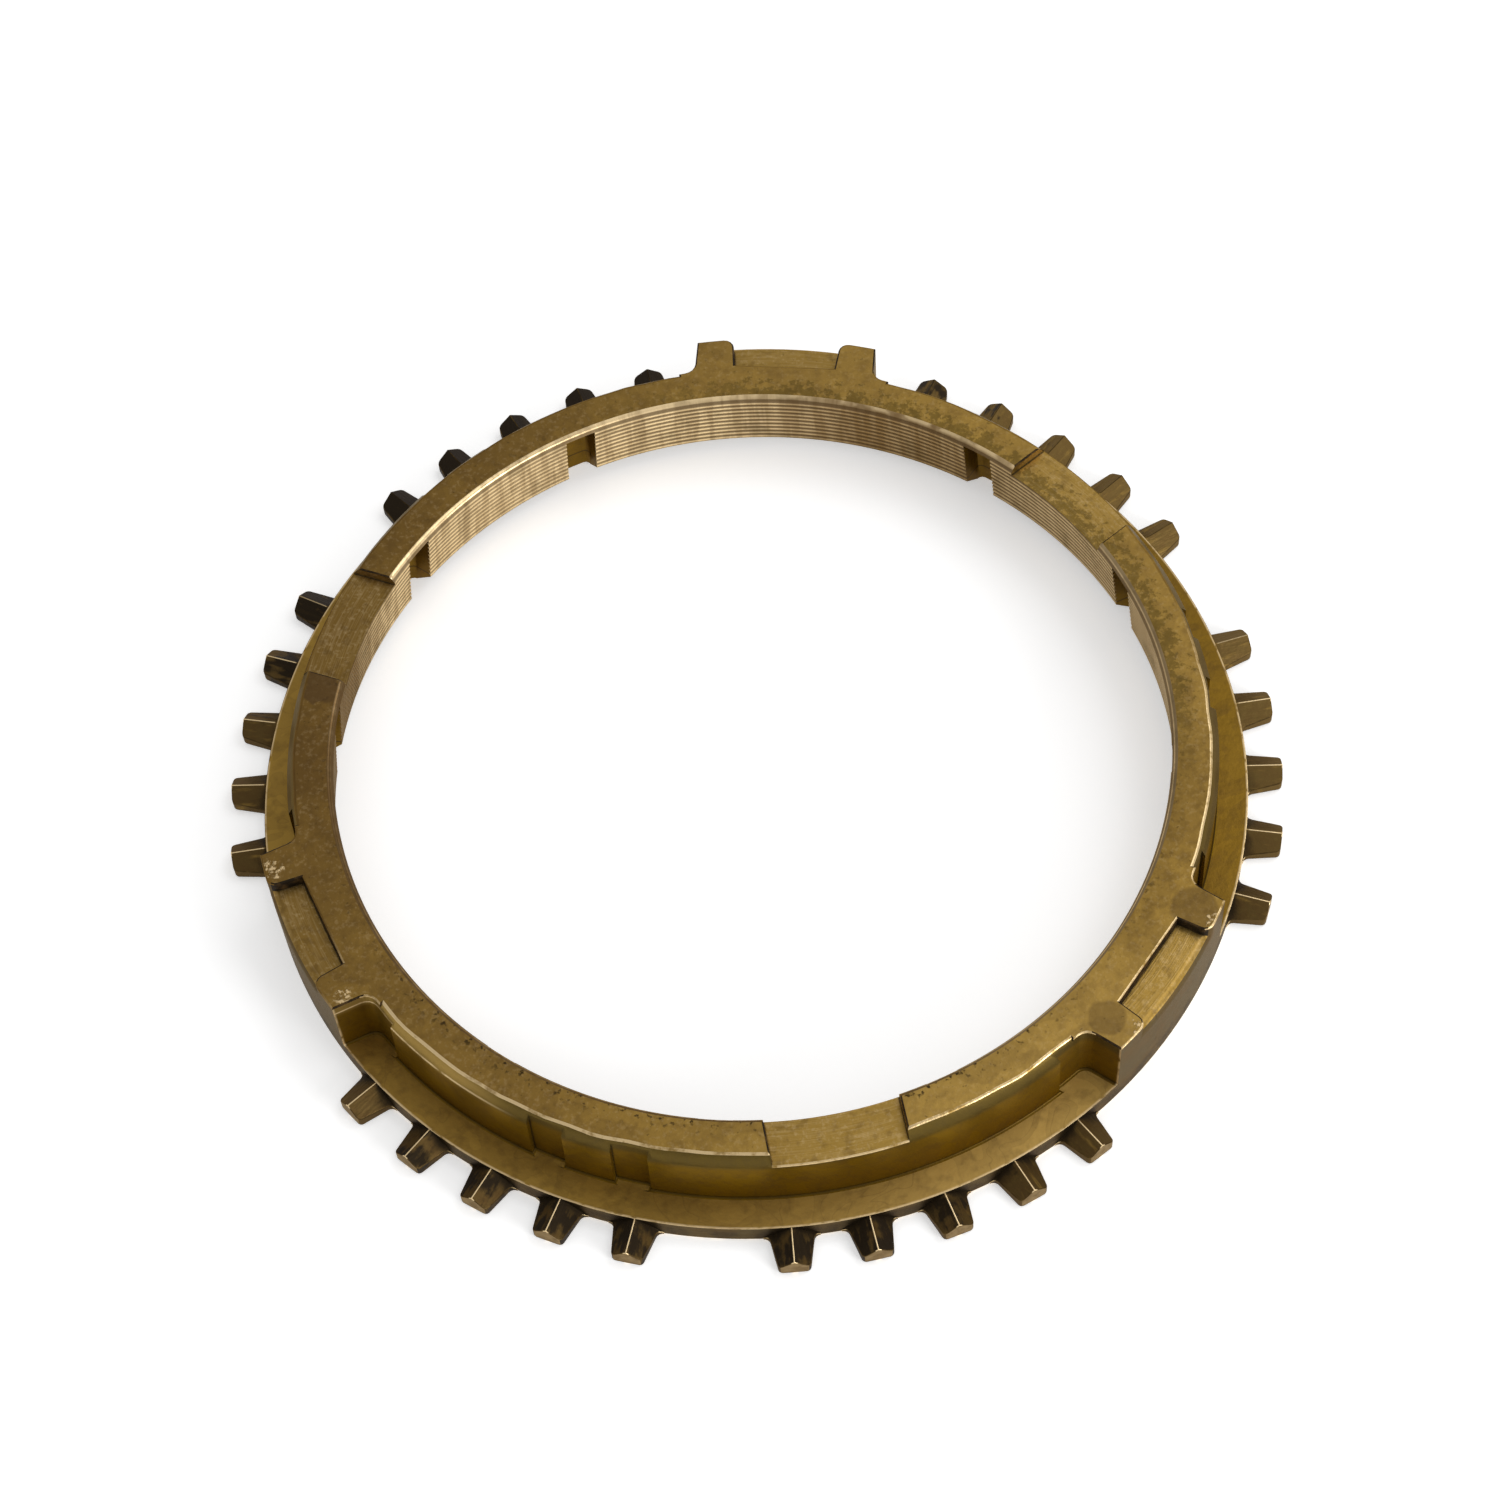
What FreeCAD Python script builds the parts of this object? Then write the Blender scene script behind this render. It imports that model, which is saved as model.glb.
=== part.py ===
import FreeCAD, Part
import math
import os
import Sketcher

# Synchronizer ring of a manual gearbox, one forged and turned brass piece.
# Millimetres and degrees. The axis is Z and the flat gear side lies on Z = 0.
# The middle of the first lug is on +Y, and the others follow around the axis.

NODE = "synchronizer_ring"

SIZES = [
    ("cone_top_radius", 34.4, "friction cone at its narrow end"),
    ("cone_angle", 7.0, "half angle of the friction cone"),
    ("wall_width", 4.0, "narrow end of the cone to the outside of the wall"),
    ("shelf_width", 2.65, "wall to the outside of the flange and of the lugs"),
    ("tooth_length", 2.95, "flange to the tips of the teeth"),
    ("flange_thickness", 2.05, "gear side to the shelf between the teeth and the wall"),
    ("wall_draft", 1.0, "taper of the outside of the wall"),
    ("ring_height", 8.35, "gear side to the top face"),
    ("rim_drop", 0.95, "height of the bevel at the outer top edge"),
    ("rim_width", 0.65, "width of the bevel at the outer top edge"),
    ("bore_chamfer", 0.5, "chamfer between cone and top face"),
    ("entry_height", 1.75, "height of the lead-in below the cone"),
    ("entry_width", 1.9, "width of the lead-in below the cone"),
    ("tooth_count", 42, "pitches of the spline all round"),
    ("first_tooth_pitches", 2, "pitches from the middle of a lug to a tooth"),
    ("group_teeth", 5, "teeth in each group beside a lug"),
    ("tooth_root_width", 3.6, "tooth where it leaves the flange"),
    ("tooth_tip_width", 2.5, "tooth at the tip"),
    ("tooth_seat", 0.6, "start of the tooth inside the flange"),
    ("tooth_stock", 0.5, "blank of a tooth past its tip and above its ridge"),
    ("tooth_drop", 0.05, "ridge of the tooth below the shelf"),
    ("tooth_bevel", 36.0, "slope of the two faces that point the tooth"),
    ("tooth_foot_radius", 0.45, "rounding beside the foot of each tooth"),
    ("lug_count", 3, "lugs around the ring"),
    ("lug_width", 15.7, "lug between its two parallel sides"),
    ("lug_seat", 1.9, "start of the lug inside the wall"),
    ("lug_edge_radius", 0.8, "rounding of the outer edges of a lug"),
    ("horn_share", 0.4, "most that this rounding takes of the width beside a ledge"),
    ("lug_corner_radius", 0.8, "rounding between lug and wall"),
    ("ledge_depth", 1.0, "ledge of a lug below the top face"),
    ("ledge_width", 3.05, "straight back of the ledge to the outside"),
    ("ledge_half_angle", 6.6, "half the span of the ledge"),
    ("ledge_overrun", 1.0, "cut for the ledge past the outside"),
    ("slot_offset", 45.0, "lug to oil slot, clockwise seen from above"),
    ("slot_width", 10.7, "oil slot along the rim"),
    ("slot_depth", 0.95, "oil slot below the top face"),
    ("recess_offset", 45.0, "lug to pair of recesses, counterclockwise"),
    ("recess_spread", 10.5, "between the two recesses of a pair"),
    ("recess_width", 3.0, "recess along the wall"),
    ("recess_depth", 0.5, "recess into the wall"),
    ("relief_width", 3.1, "relief in the wall beside a lug"),
    ("relief_depth", 0.45, "depth of that relief"),
    ("groove_count", 3, "axial grooves between two lugs"),
    ("groove_step", 30.0, "between two axial grooves"),
    ("groove_width", 2.7, "axial groove along the bore"),
    ("groove_depth", 2.0, "axial groove into the cone"),
    ("groove_corner_radius", 0.5, "rounding along the floor of an axial groove"),
    ("groove_stop", 0.6, "closed end of an axial groove, at its mouth, to the top face"),
]

WALL_RADIUS = "(Sizes.cone_top_radius + Sizes.wall_width)"
FLANGE_RADIUS = f"({WALL_RADIUS} + Sizes.shelf_width)"
TIP_RADIUS = f"({FLANGE_RADIUS} + Sizes.tooth_length)"
CONE_TOP = "(Sizes.ring_height - Sizes.bore_chamfer)"
RIM_HEIGHT = "(Sizes.ring_height - Sizes.rim_drop)"
WALL_HEIGHT = "(Sizes.ring_height - Sizes.flange_thickness)"
LEDGE_HEIGHT = "(Sizes.ring_height - Sizes.ledge_depth)"
LEDGE_BACK = f"({FLANGE_RADIUS} - Sizes.ledge_width)"
HORN_WIDTH = f"(Sizes.lug_width / 2 - {FLANGE_RADIUS} * tan(Sizes.ledge_half_angle))"
RIDGE_HEIGHT = "(Sizes.flange_thickness - Sizes.tooth_drop)"
BLANK_HEIGHT = "(Sizes.flange_thickness + Sizes.tooth_stock)"
TOOTH_TURN = "-Sizes.first_tooth_pitches * 360 / Sizes.tooth_count"
GROOVE_TOP = "(Sizes.ring_height - Sizes.groove_stop)"
MOUTH_RADIUS = f"(Sizes.cone_top_radius + ({CONE_TOP} - {GROOVE_TOP}) * tan(Sizes.cone_angle))"
GROOVE_END = f"({GROOVE_TOP} * cos(Sizes.cone_angle) - {MOUTH_RADIUS} * sin(Sizes.cone_angle))"
GROOVE_FLOOR = (f"((Sizes.cone_top_radius + Sizes.groove_depth + {CONE_TOP} * tan(Sizes.cone_angle))"
                " * cos(Sizes.cone_angle))")
GROOVE_TURN = "Sizes.groove_step * (Sizes.groove_count - 1) / 2 - 180 / Sizes.lug_count"

START, END, CENTRE = range(1, 4)
ORIGIN = (-1, 1)
X_AXIS = -1
Y_AXIS = -2
CLOSE = 0.001

doc = FreeCAD.newDocument("SynchronizerRing")
sheet = doc.addObject("Spreadsheet::Sheet", "Sizes")
for row, (alias, number, meaning) in enumerate(SIZES, start=1):
    sheet.set(f"A{row}", alias)
    sheet.set(f"B{row}", str(number))
    sheet.set(f"C{row}", meaning)
    sheet.setAlias(f"B{row}", alias)
doc.recompute()
size = {alias: float(number) for alias, number, meaning in SIZES}

ring = doc.addObject("PartDesign::Body", "Ring")
ring.Label = NODE
teeth = doc.addObject("PartDesign::Body", "Teeth")


def tangent(degrees):
    return math.tan(math.radians(degrees))


def origin_part(body, role):
    return next(item for item in body.Origin.OriginFeatures if item.Role == role)


def new_sketch(name, plane, body=ring):
    sketch = body.newObject("Sketcher::SketchObject", name)
    sketch.AttachmentSupport = [(origin_part(body, plane), "")]
    sketch.MapMode = "FlatFace"
    return sketch


def fix(sketch, kind, *items):
    sketch.addConstraint(Sketcher.Constraint(kind, *items))


def value(formula):
    """Number that a formula of the sheet's sizes gives now."""
    return float(sheet.evalExpression(formula))


def drive(sketch, name, kind, items, formula):
    """Constraint whose value follows a formula of the sheet's sizes."""
    index = sketch.addConstraint(Sketcher.Constraint(kind, *items, value(formula)))
    sketch.renameConstraint(index, name)
    sketch.setExpression(f"Constraints.{name}", formula)


def straight_outline(sketch, points):
    """Closed outline of straight lines, line k from point k to the next."""
    corners = [FreeCAD.Vector(x, y, 0) for x, y in points]
    following = corners[1:] + corners[:1]
    for corner, after in zip(corners, following):
        sketch.addGeometry(Part.LineSegment(corner, after), False)
    for k in range(len(corners)):
        fix(sketch, "Coincident", k, END, (k + 1) % len(corners), START)


def turn_sketch(sketch, direction, formula):
    """Turn a sketch about one of its own directions, at the origin."""
    turned = FreeCAD.Rotation(direction, 1)
    sketch.AttachmentOffset = FreeCAD.Placement(FreeCAD.Vector(), turned)
    sketch.setExpression("AttachmentOffset.Rotation.Angle", formula)


def raise_sketch(sketch, formula):
    sketch.setExpression("AttachmentOffset.Base.z", formula)


def settle(feature):
    """Make a feature the tip of its body and compute it."""
    feature.getParentGeoFeatureGroup().Tip = feature
    doc.recompute()
    return feature


def repeat(features, name, count, step=None, clockwise=False, body=ring):
    """Copies about the ring's axis, all round where no step is given."""
    pattern = body.newObject("PartDesign::PolarPattern", name)
    pattern.Originals = features
    pattern.Axis = (origin_part(body, "Z_Axis"), [""])
    pattern.Reversed = clockwise
    pattern.setExpression("Occurrences", count)
    if step:
        pattern.Mode = "Spacing"
        pattern.setExpression("Offset", step)
    return pattern


def mirror_at_lug(name, body=ring):
    mirror = body.newObject("PartDesign::Mirrored", name)
    mirror.MirrorPlane = (origin_part(body, "YZ_Plane"), [""])
    return mirror


def repeat_together(features, name, transforms, body=ring, mode="Features"):
    """Features, or the whole body so far, carried through several patterns."""
    several = body.newObject("PartDesign::MultiTransform", name)
    several.Originals = features
    several.Transformations = transforms
    several.TransformMode = mode
    return settle(several)


def round_edges(name, feature, wanted, radius):
    """Fillet on the edges of the last feature that pass the test."""
    names = [f"Edge{k}" for k, edge in enumerate(feature.Shape.Edges, start=1) if wanted(edge)]
    rounding = ring.newObject("PartDesign::Fillet", name)
    rounding.Base = (feature, names)
    rounding.setExpression("Radius", radius)
    return settle(rounding)


# Turned section: flange, drafted wall, bevelled rim, friction cone, lead-in

wall_r = value(WALL_RADIUS)
flange_r = value(FLANGE_RADIUS)
tip_r = value(TIP_RADIUS)
rim_z = value(RIM_HEIGHT)
rim_r = wall_r - (rim_z - size["flange_thickness"]) * tangent(size["wall_draft"])
cone_z = value(CONE_TOP)
cone_r = size["cone_top_radius"] + (cone_z - size["entry_height"]) * tangent(size["cone_angle"])

section = new_sketch("section", "XZ_Plane")
straight_outline(section, [
    (cone_r + size["entry_width"], 0),
    (flange_r, 0),
    (flange_r, size["flange_thickness"]),
    (wall_r, size["flange_thickness"]),
    (rim_r, rim_z),
    (rim_r - size["rim_width"], size["ring_height"]),
    (size["cone_top_radius"] + size["bore_chamfer"], size["ring_height"]),
    (size["cone_top_radius"], cone_z),
    (cone_r, size["entry_height"]),
])
fix(section, "PointOnObject", 0, START, X_AXIS)
fix(section, "Horizontal", 0)
fix(section, "Vertical", 1)
fix(section, "Horizontal", 2)
fix(section, "Horizontal", 5)
drive(section, "flange_radius", "DistanceX", (*ORIGIN, 1, START), FLANGE_RADIUS)
drive(section, "flange_thickness", "DistanceY", (*ORIGIN, 2, START), "Sizes.flange_thickness")
drive(section, "wall_radius", "DistanceX", (*ORIGIN, 3, START), WALL_RADIUS)
drive(section, "rim_height", "DistanceY", (*ORIGIN, 4, START), RIM_HEIGHT)
drive(section, "wall_slope", "DistanceX", (4, START, 3, START),
      f"({RIM_HEIGHT} - Sizes.flange_thickness) * tan(Sizes.wall_draft)")
drive(section, "rim_width", "DistanceX", (5, START, 4, START), "Sizes.rim_width")
drive(section, "ring_height", "DistanceY", (*ORIGIN, 5, START), "Sizes.ring_height")
drive(section, "cone_top_radius", "DistanceX", (*ORIGIN, 7, START), "Sizes.cone_top_radius")
drive(section, "chamfer_width", "DistanceX", (7, START, 6, START), "Sizes.bore_chamfer")
drive(section, "chamfer_height", "DistanceY", (7, START, 6, START), "Sizes.bore_chamfer")
drive(section, "entry_height", "DistanceY", (*ORIGIN, 8, START), "Sizes.entry_height")
drive(section, "cone_slope", "DistanceX", (7, START, 8, START),
      f"({CONE_TOP} - Sizes.entry_height) * tan(Sizes.cone_angle)")
drive(section, "entry_width", "DistanceX", (8, START, 0, START), "Sizes.entry_width")

turned = ring.newObject("PartDesign::Revolution", "turned_ring")
turned.Profile = section
turned.ReferenceAxis = (section, ["V_Axis"])
turned.Angle = 360
settle(turned)


# Axial grooves in the cone: parallel to it, closed at the top, open below


def groove_outline():
    """Section of a groove, square to the cone's line, with round floor corners."""
    half = size["groove_width"] / 2
    corner = size["groove_corner_radius"]
    inside = size["cone_top_radius"] - size["groove_depth"]
    deep = value(GROOVE_FLOOR)
    sketch = new_sketch("groove_outline", "XY_Plane")
    corners = [FreeCAD.Vector(x, y, 0) for x, y in (
        (-half, inside), (half, inside), (half, deep - corner), (half - corner, deep),
        (corner - half, deep), (-half, deep - corner))]
    for first, last in ((0, 1), (1, 2), (3, 4), (5, 0)):
        sketch.addGeometry(Part.LineSegment(corners[first], corners[last]), False)
    for side, begin, end in ((1, 0, math.pi / 2), (-1, math.pi / 2, math.pi)):
        middle = FreeCAD.Vector(side * (half - corner), deep - corner, 0)
        circle = Part.Circle(middle, FreeCAD.Vector(0, 0, 1), corner)
        sketch.addGeometry(Part.ArcOfCircle(circle, begin, end), False)
    open_side, right, floor_line, left, right_corner, left_corner = range(6)
    fix(sketch, "Coincident", open_side, END, right, START)
    fix(sketch, "Coincident", left, END, open_side, START)
    fix(sketch, "Tangent", right, END, right_corner, START)
    fix(sketch, "Tangent", right_corner, END, floor_line, START)
    fix(sketch, "Tangent", floor_line, END, left_corner, START)
    fix(sketch, "Tangent", left_corner, END, left, START)
    fix(sketch, "Vertical", right)
    fix(sketch, "Vertical", left)
    fix(sketch, "Horizontal", floor_line)
    fix(sketch, "Equal", right_corner, left_corner)
    fix(sketch, "Symmetric", open_side, START, open_side, END, Y_AXIS)
    drive(sketch, "width", "DistanceX", (open_side, START, open_side, END), "Sizes.groove_width")
    drive(sketch, "corner", "Radius", (right_corner,), "Sizes.groove_corner_radius")
    drive(sketch, "inside", "DistanceY", (*ORIGIN, open_side, START),
          "Sizes.cone_top_radius - Sizes.groove_depth")
    drive(sketch, "floor", "DistanceY", (*ORIGIN, floor_line, START), GROOVE_FLOOR)
    return sketch


def lean_sketch(sketch, turn, lean, along):
    """Turn a sketch about Z, lean it back and move it along its own normal."""
    no_turn = "rotationz(0)"
    leaning = f"placement(vector(0; 0; 0); rotationz({turn}) * rotationx({lean}))"
    sketch.setExpression("AttachmentOffset",
                         f"{leaning} * placement(vector(0; 0; {along}); {no_turn})")


groove = ring.newObject("PartDesign::Pocket", "groove")
groove.Profile = groove_outline()
lean_sketch(groove.Profile[0], GROOVE_TURN, "Sizes.cone_angle", GROOVE_END)
groove.setExpression("Length", "Sizes.ring_height + Sizes.groove_depth")
settle(groove)
repeat_together([groove], "grooves", [
    repeat([], "groove_row", "Sizes.groove_count", "Sizes.groove_step", clockwise=True),
    repeat([], "groove_sectors", "Sizes.lug_count"),
])


# Outlines of what stands on the shelf or is cut down from the top face


def strip_outline(name, inner, outer, left, right):
    """Between two arcs about the axis and two lines along Y. All formulas."""
    sketch = new_sketch(name, "XY_Plane")
    rims = []
    for radius in (value(outer), value(inner)):
        angles = [math.acos(value(side) / radius) for side in (right, left)]
        circle = Part.Circle(FreeCAD.Vector(), FreeCAD.Vector(0, 0, 1), radius)
        sketch.addGeometry(Part.ArcOfCircle(circle, *angles), False)
        rims.append([circle.value(angle) for angle in angles])
    for outer_end, inner_end in zip(*rims):
        sketch.addGeometry(Part.LineSegment(outer_end, inner_end), False)
    fix(sketch, "Coincident", 0, CENTRE, *ORIGIN)
    fix(sketch, "Coincident", 1, CENTRE, *ORIGIN)
    for side, end_of_arc in ((2, START), (3, END)):
        fix(sketch, "Coincident", side, START, 0, end_of_arc)
        fix(sketch, "Coincident", side, END, 1, end_of_arc)
        fix(sketch, "Vertical", side)
    drive(sketch, "outer", "Radius", (0,), outer)
    drive(sketch, "inner", "Radius", (1,), inner)
    drive(sketch, "right", "DistanceX", (*ORIGIN, 2, START), right)
    drive(sketch, "left", "DistanceX", (*ORIGIN, 3, START), left)
    return sketch


def block_outline(name, width, inner, outer):
    """Rectangle square to +Y, from one distance to another. All formulas."""
    half = value(width) / 2
    sketch = new_sketch(name, "XY_Plane")
    straight_outline(sketch, [(-half, value(inner)), (half, value(inner)),
                              (half, value(outer)), (-half, value(outer))])
    fix(sketch, "Vertical", 1)
    fix(sketch, "Symmetric", 0, START, 1, START, Y_AXIS)
    fix(sketch, "Symmetric", 2, START, 3, START, Y_AXIS)
    drive(sketch, "width", "DistanceX", (0, START, 1, START), width)
    drive(sketch, "inner", "DistanceY", (*ORIGIN, 0, START), inner)
    drive(sketch, "outer", "DistanceY", (*ORIGIN, 2, START), outer)
    return sketch


def fan_outline(name, half_angle, back, front):
    """Like a block, but with sides that point at the axis. All formulas."""
    flare = tangent(value(half_angle))
    sketch = new_sketch(name, "XY_Plane")
    straight_outline(sketch, [(-value(back) * flare, value(back)), (value(back) * flare, value(back)),
                              (value(front) * flare, value(front)),
                              (-value(front) * flare, value(front))])
    fix(sketch, "PointOnObject", *ORIGIN, 1)
    fix(sketch, "Symmetric", 0, START, 1, START, Y_AXIS)
    fix(sketch, "Symmetric", 2, START, 3, START, Y_AXIS)
    drive(sketch, "back", "DistanceY", (*ORIGIN, 0, START), back)
    drive(sketch, "front", "DistanceY", (*ORIGIN, 2, START), front)
    drive(sketch, "half_width", "DistanceX", (*ORIGIN, 1, START), f"{back} * tan({half_angle})")
    return sketch


def cut_from_top(name, sketch, depth, turn="0"):
    """Pocket straight down from the top face, its outline turned first."""
    turn_sketch(sketch, FreeCAD.Vector(0, 0, 1), turn)
    raise_sketch(sketch, "Sizes.ring_height")
    pocket = ring.newObject("PartDesign::Pocket", name)
    pocket.Profile = sketch
    pocket.setExpression("Length", depth)
    return settle(pocket)


# Lugs: full height, flush with the flange outside, each with a ledge in it

lug = ring.newObject("PartDesign::Pad", "lug")
lug.Profile = strip_outline("lug_outline", f"{WALL_RADIUS} - Sizes.lug_seat", FLANGE_RADIUS,
                            "-Sizes.lug_width / 2", "Sizes.lug_width / 2")
raise_sketch(lug.Profile[0], "Sizes.flange_thickness")
lug.setExpression("Length", WALL_HEIGHT)
settle(lug)
ledge = cut_from_top("ledge",
                     fan_outline("ledge_outline", "Sizes.ledge_half_angle", LEDGE_BACK,
                                 f"{FLANGE_RADIUS} + Sizes.ledge_overrun"),
                     "Sizes.ledge_depth")
settle(repeat([lug, ledge], "lugs", "Sizes.lug_count"))

# Oil slots across the top face, one for each lug

slot = cut_from_top("slot",
                    block_outline("slot_outline", "Sizes.slot_width",
                                  "Sizes.cone_top_radius - Sizes.slot_width", FLANGE_RADIUS),
                    "Sizes.slot_depth", "-Sizes.slot_offset")
settle(repeat([slot], "slots", "Sizes.lug_count"))

# Pairs of shallow recesses in the wall, and a relief on each side of a lug

recess = cut_from_top("recess",
                      block_outline("recess_outline", "Sizes.recess_width",
                                    f"{WALL_RADIUS} - Sizes.recess_depth", FLANGE_RADIUS),
                      WALL_HEIGHT, "Sizes.recess_offset - Sizes.recess_spread / 2")
repeat_together([recess], "recesses", [
    repeat([], "recess_pair", "2", "Sizes.recess_spread"),
    repeat([], "recess_sectors", "Sizes.lug_count"),
])
relief = cut_from_top("relief",
                      strip_outline("relief_outline", f"{WALL_RADIUS} - Sizes.relief_depth",
                                    FLANGE_RADIUS, "Sizes.lug_width / 2",
                                    "Sizes.lug_width / 2 + Sizes.relief_width"),
                      WALL_HEIGHT)
reliefs = repeat_together([relief], "reliefs", [
    mirror_at_lug("other_side_of_lug"),
    repeat([], "relief_sectors", "Sizes.lug_count"),
])

# Rounded edges of the lugs


def ends(edge):
    return [vertex.Point for vertex in edge.Vertexes]


def reach(point):
    return math.hypot(point.x, point.y)


def is_upright(edge, low):
    """Straight edge along the axis that starts at one height and goes up."""
    if not isinstance(edge.Curve, Part.Line) or abs(abs(edge.Curve.Direction.z) - 1) > CLOSE:
        return False
    return abs(min(point.z for point in ends(edge)) - low) < CLOSE


def is_lug_corner(edge):
    """Upright edge where a lug meets the relief beside it."""
    if not is_upright(edge, size["flange_thickness"]):
        return False
    point = ends(edge)[0]
    sector = 2 * math.pi / size["lug_count"]
    from_lug = math.atan2(point.x, point.y) % sector
    beside = reach(point) * math.sin(min(from_lug, sector - from_lug))
    at_relief = abs(reach(point) - wall_r + size["relief_depth"]) < CLOSE
    return at_relief and abs(beside - size["lug_width"] / 2) < CLOSE


def is_lug_edge(edge):
    """Edge of a lug on the outside: at its top, beside its ledge or upright."""
    points = ends(edge)
    if not all(abs(reach(point) - flange_r) < CLOSE for point in points):
        return False
    tops = (size["ring_height"], value(LEDGE_HEIGHT))
    at_top = any(all(abs(point.z - top) < CLOSE for point in points) for top in tops)
    return at_top or is_upright(edge, size["flange_thickness"]) or is_upright(edge, tops[1])


corners = round_edges("lug_corners", reliefs, is_lug_corner, "Sizes.lug_corner_radius")
round_edges("lug_edges", corners, is_lug_edge,
            f"min(Sizes.lug_edge_radius; {HORN_WIDTH} * Sizes.horn_share)")

# Teeth: tapered in plan, flared at the foot, pointed towards the top


def tooth_outline():
    """Outline seen from above, its middle on +Y before it is turned."""
    root = size["tooth_root_width"] / 2
    tip = size["tooth_tip_width"] / 2
    foot_radius = size["tooth_foot_radius"]
    start_y = flange_r - size["tooth_seat"]
    tip_y = tip_r + size["tooth_stock"]
    flare = root + foot_radius
    sketch = new_sketch("tooth_outline", "XY_Plane", teeth)
    right = [(flare, start_y), (flare, flange_r), (root, flange_r + foot_radius), (tip, tip_y)]
    left = [(-x, y) for x, y in reversed(right)]
    corners = [FreeCAD.Vector(x, y, 0) for x, y in right + left]
    for first, last in ((7, 0), (0, 1), (2, 3), (3, 4), (4, 5), (6, 7)):
        sketch.addGeometry(Part.LineSegment(corners[first], corners[last]), False)
    up = FreeCAD.Vector(0, 0, 1)
    for side, begin in ((1, math.pi), (-1, 1.5 * math.pi)):
        middle = FreeCAD.Vector(side * flare, flange_r + foot_radius, 0)
        arc = Part.ArcOfCircle(Part.Circle(middle, up, foot_radius), begin, begin + math.pi / 2)
        sketch.addGeometry(arc, False)
    base, right_seat, right_flank, tip_line, left_flank, left_seat, right_foot, left_foot = range(8)
    outside, root_mark = 8, 9
    sketch.addGeometry(Part.Circle(FreeCAD.Vector(), up, flange_r), True)
    sketch.addGeometry(Part.Point(FreeCAD.Vector(root, flange_r, 0)), True)
    fix(sketch, "Coincident", outside, CENTRE, *ORIGIN)
    fix(sketch, "Coincident", right_flank, END, tip_line, START)
    fix(sketch, "PointOnObject", root_mark, START, right_flank)
    fix(sketch, "Tangent", right_foot, START, right_flank, START)
    fix(sketch, "Tangent", right_foot, END, outside)
    fix(sketch, "Coincident", right_foot, END, right_seat, END)
    fix(sketch, "Vertical", right_seat)
    fix(sketch, "Coincident", base, END, right_seat, START)
    fix(sketch, "Symmetric", tip_line, START, tip_line, END, Y_AXIS)
    fix(sketch, "Symmetric", base, START, base, END, Y_AXIS)
    fix(sketch, "Symmetric", right_flank, START, left_flank, END, Y_AXIS)
    fix(sketch, "Symmetric", right_seat, END, left_seat, START, Y_AXIS)
    fix(sketch, "Coincident", tip_line, END, left_flank, START)
    fix(sketch, "Coincident", left_flank, END, left_foot, END)
    fix(sketch, "Coincident", left_foot, START, left_seat, START)
    fix(sketch, "Coincident", left_seat, END, base, START)
    fix(sketch, "Equal", right_foot, left_foot)
    drive(sketch, "outside", "Radius", (outside,), FLANGE_RADIUS)
    drive(sketch, "root_half", "DistanceX", (*ORIGIN, root_mark, START), "Sizes.tooth_root_width / 2")
    drive(sketch, "root_y", "DistanceY", (*ORIGIN, root_mark, START), FLANGE_RADIUS)
    drive(sketch, "foot_radius", "Radius", (right_foot,), "Sizes.tooth_foot_radius")
    drive(sketch, "tip_half", "DistanceX", (*ORIGIN, tip_line, START), "Sizes.tooth_tip_width / 2")
    drive(sketch, "tip_y", "DistanceY", (*ORIGIN, tip_line, START),
          f"{TIP_RADIUS} + Sizes.tooth_stock")
    drive(sketch, "seat", "DistanceY", (*ORIGIN, base, END), f"{FLANGE_RADIUS} - Sizes.tooth_seat")
    turn_sketch(sketch, up, TOOTH_TURN)
    return sketch


def roof_outline():
    """What is cut away above the two faces that point a tooth."""
    side = size["tooth_root_width"]
    ridge = value(RIDGE_HEIGHT)
    eaves = ridge - side * tangent(size["tooth_bevel"])
    above = value(BLANK_HEIGHT)
    sketch = new_sketch("roof_outline", "XZ_Plane", teeth)
    straight_outline(sketch, [(0, ridge), (side, eaves), (side, above), (-side, above),
                              (-side, eaves)])
    fix(sketch, "PointOnObject", 0, START, Y_AXIS)
    fix(sketch, "Vertical", 1)
    fix(sketch, "Symmetric", 1, START, 4, START, Y_AXIS)
    fix(sketch, "Symmetric", 2, START, 3, START, Y_AXIS)
    drive(sketch, "ridge", "DistanceY", (*ORIGIN, 0, START), RIDGE_HEIGHT)
    drive(sketch, "side", "DistanceX", (*ORIGIN, 1, START), "Sizes.tooth_root_width")
    drive(sketch, "eaves", "DistanceY", (1, START, 0, START),
          "Sizes.tooth_root_width * tan(Sizes.tooth_bevel)")
    drive(sketch, "above", "DistanceY", (*ORIGIN, 2, START), BLANK_HEIGHT)
    turn_sketch(sketch, FreeCAD.Vector(0, 1, 0), TOOTH_TURN)
    return sketch


tooth = teeth.newObject("PartDesign::Pad", "tooth")
tooth.Profile = tooth_outline()
tooth.setExpression("Length", BLANK_HEIGHT)
settle(tooth)
pointing = teeth.newObject("PartDesign::Pocket", "pointing")
pointing.Profile = roof_outline()
pointing.Type = "ThroughAll"
settle(pointing)
repeat_together([tooth, pointing], "all_teeth", [
    repeat([], "tooth_group", "Sizes.group_teeth", "360 / Sizes.tooth_count",
           clockwise=True, body=teeth),
    mirror_at_lug("other_group", body=teeth),
    repeat([], "tooth_sectors", "Sizes.lug_count", body=teeth),
], body=teeth, mode="Whole shape")

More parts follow.
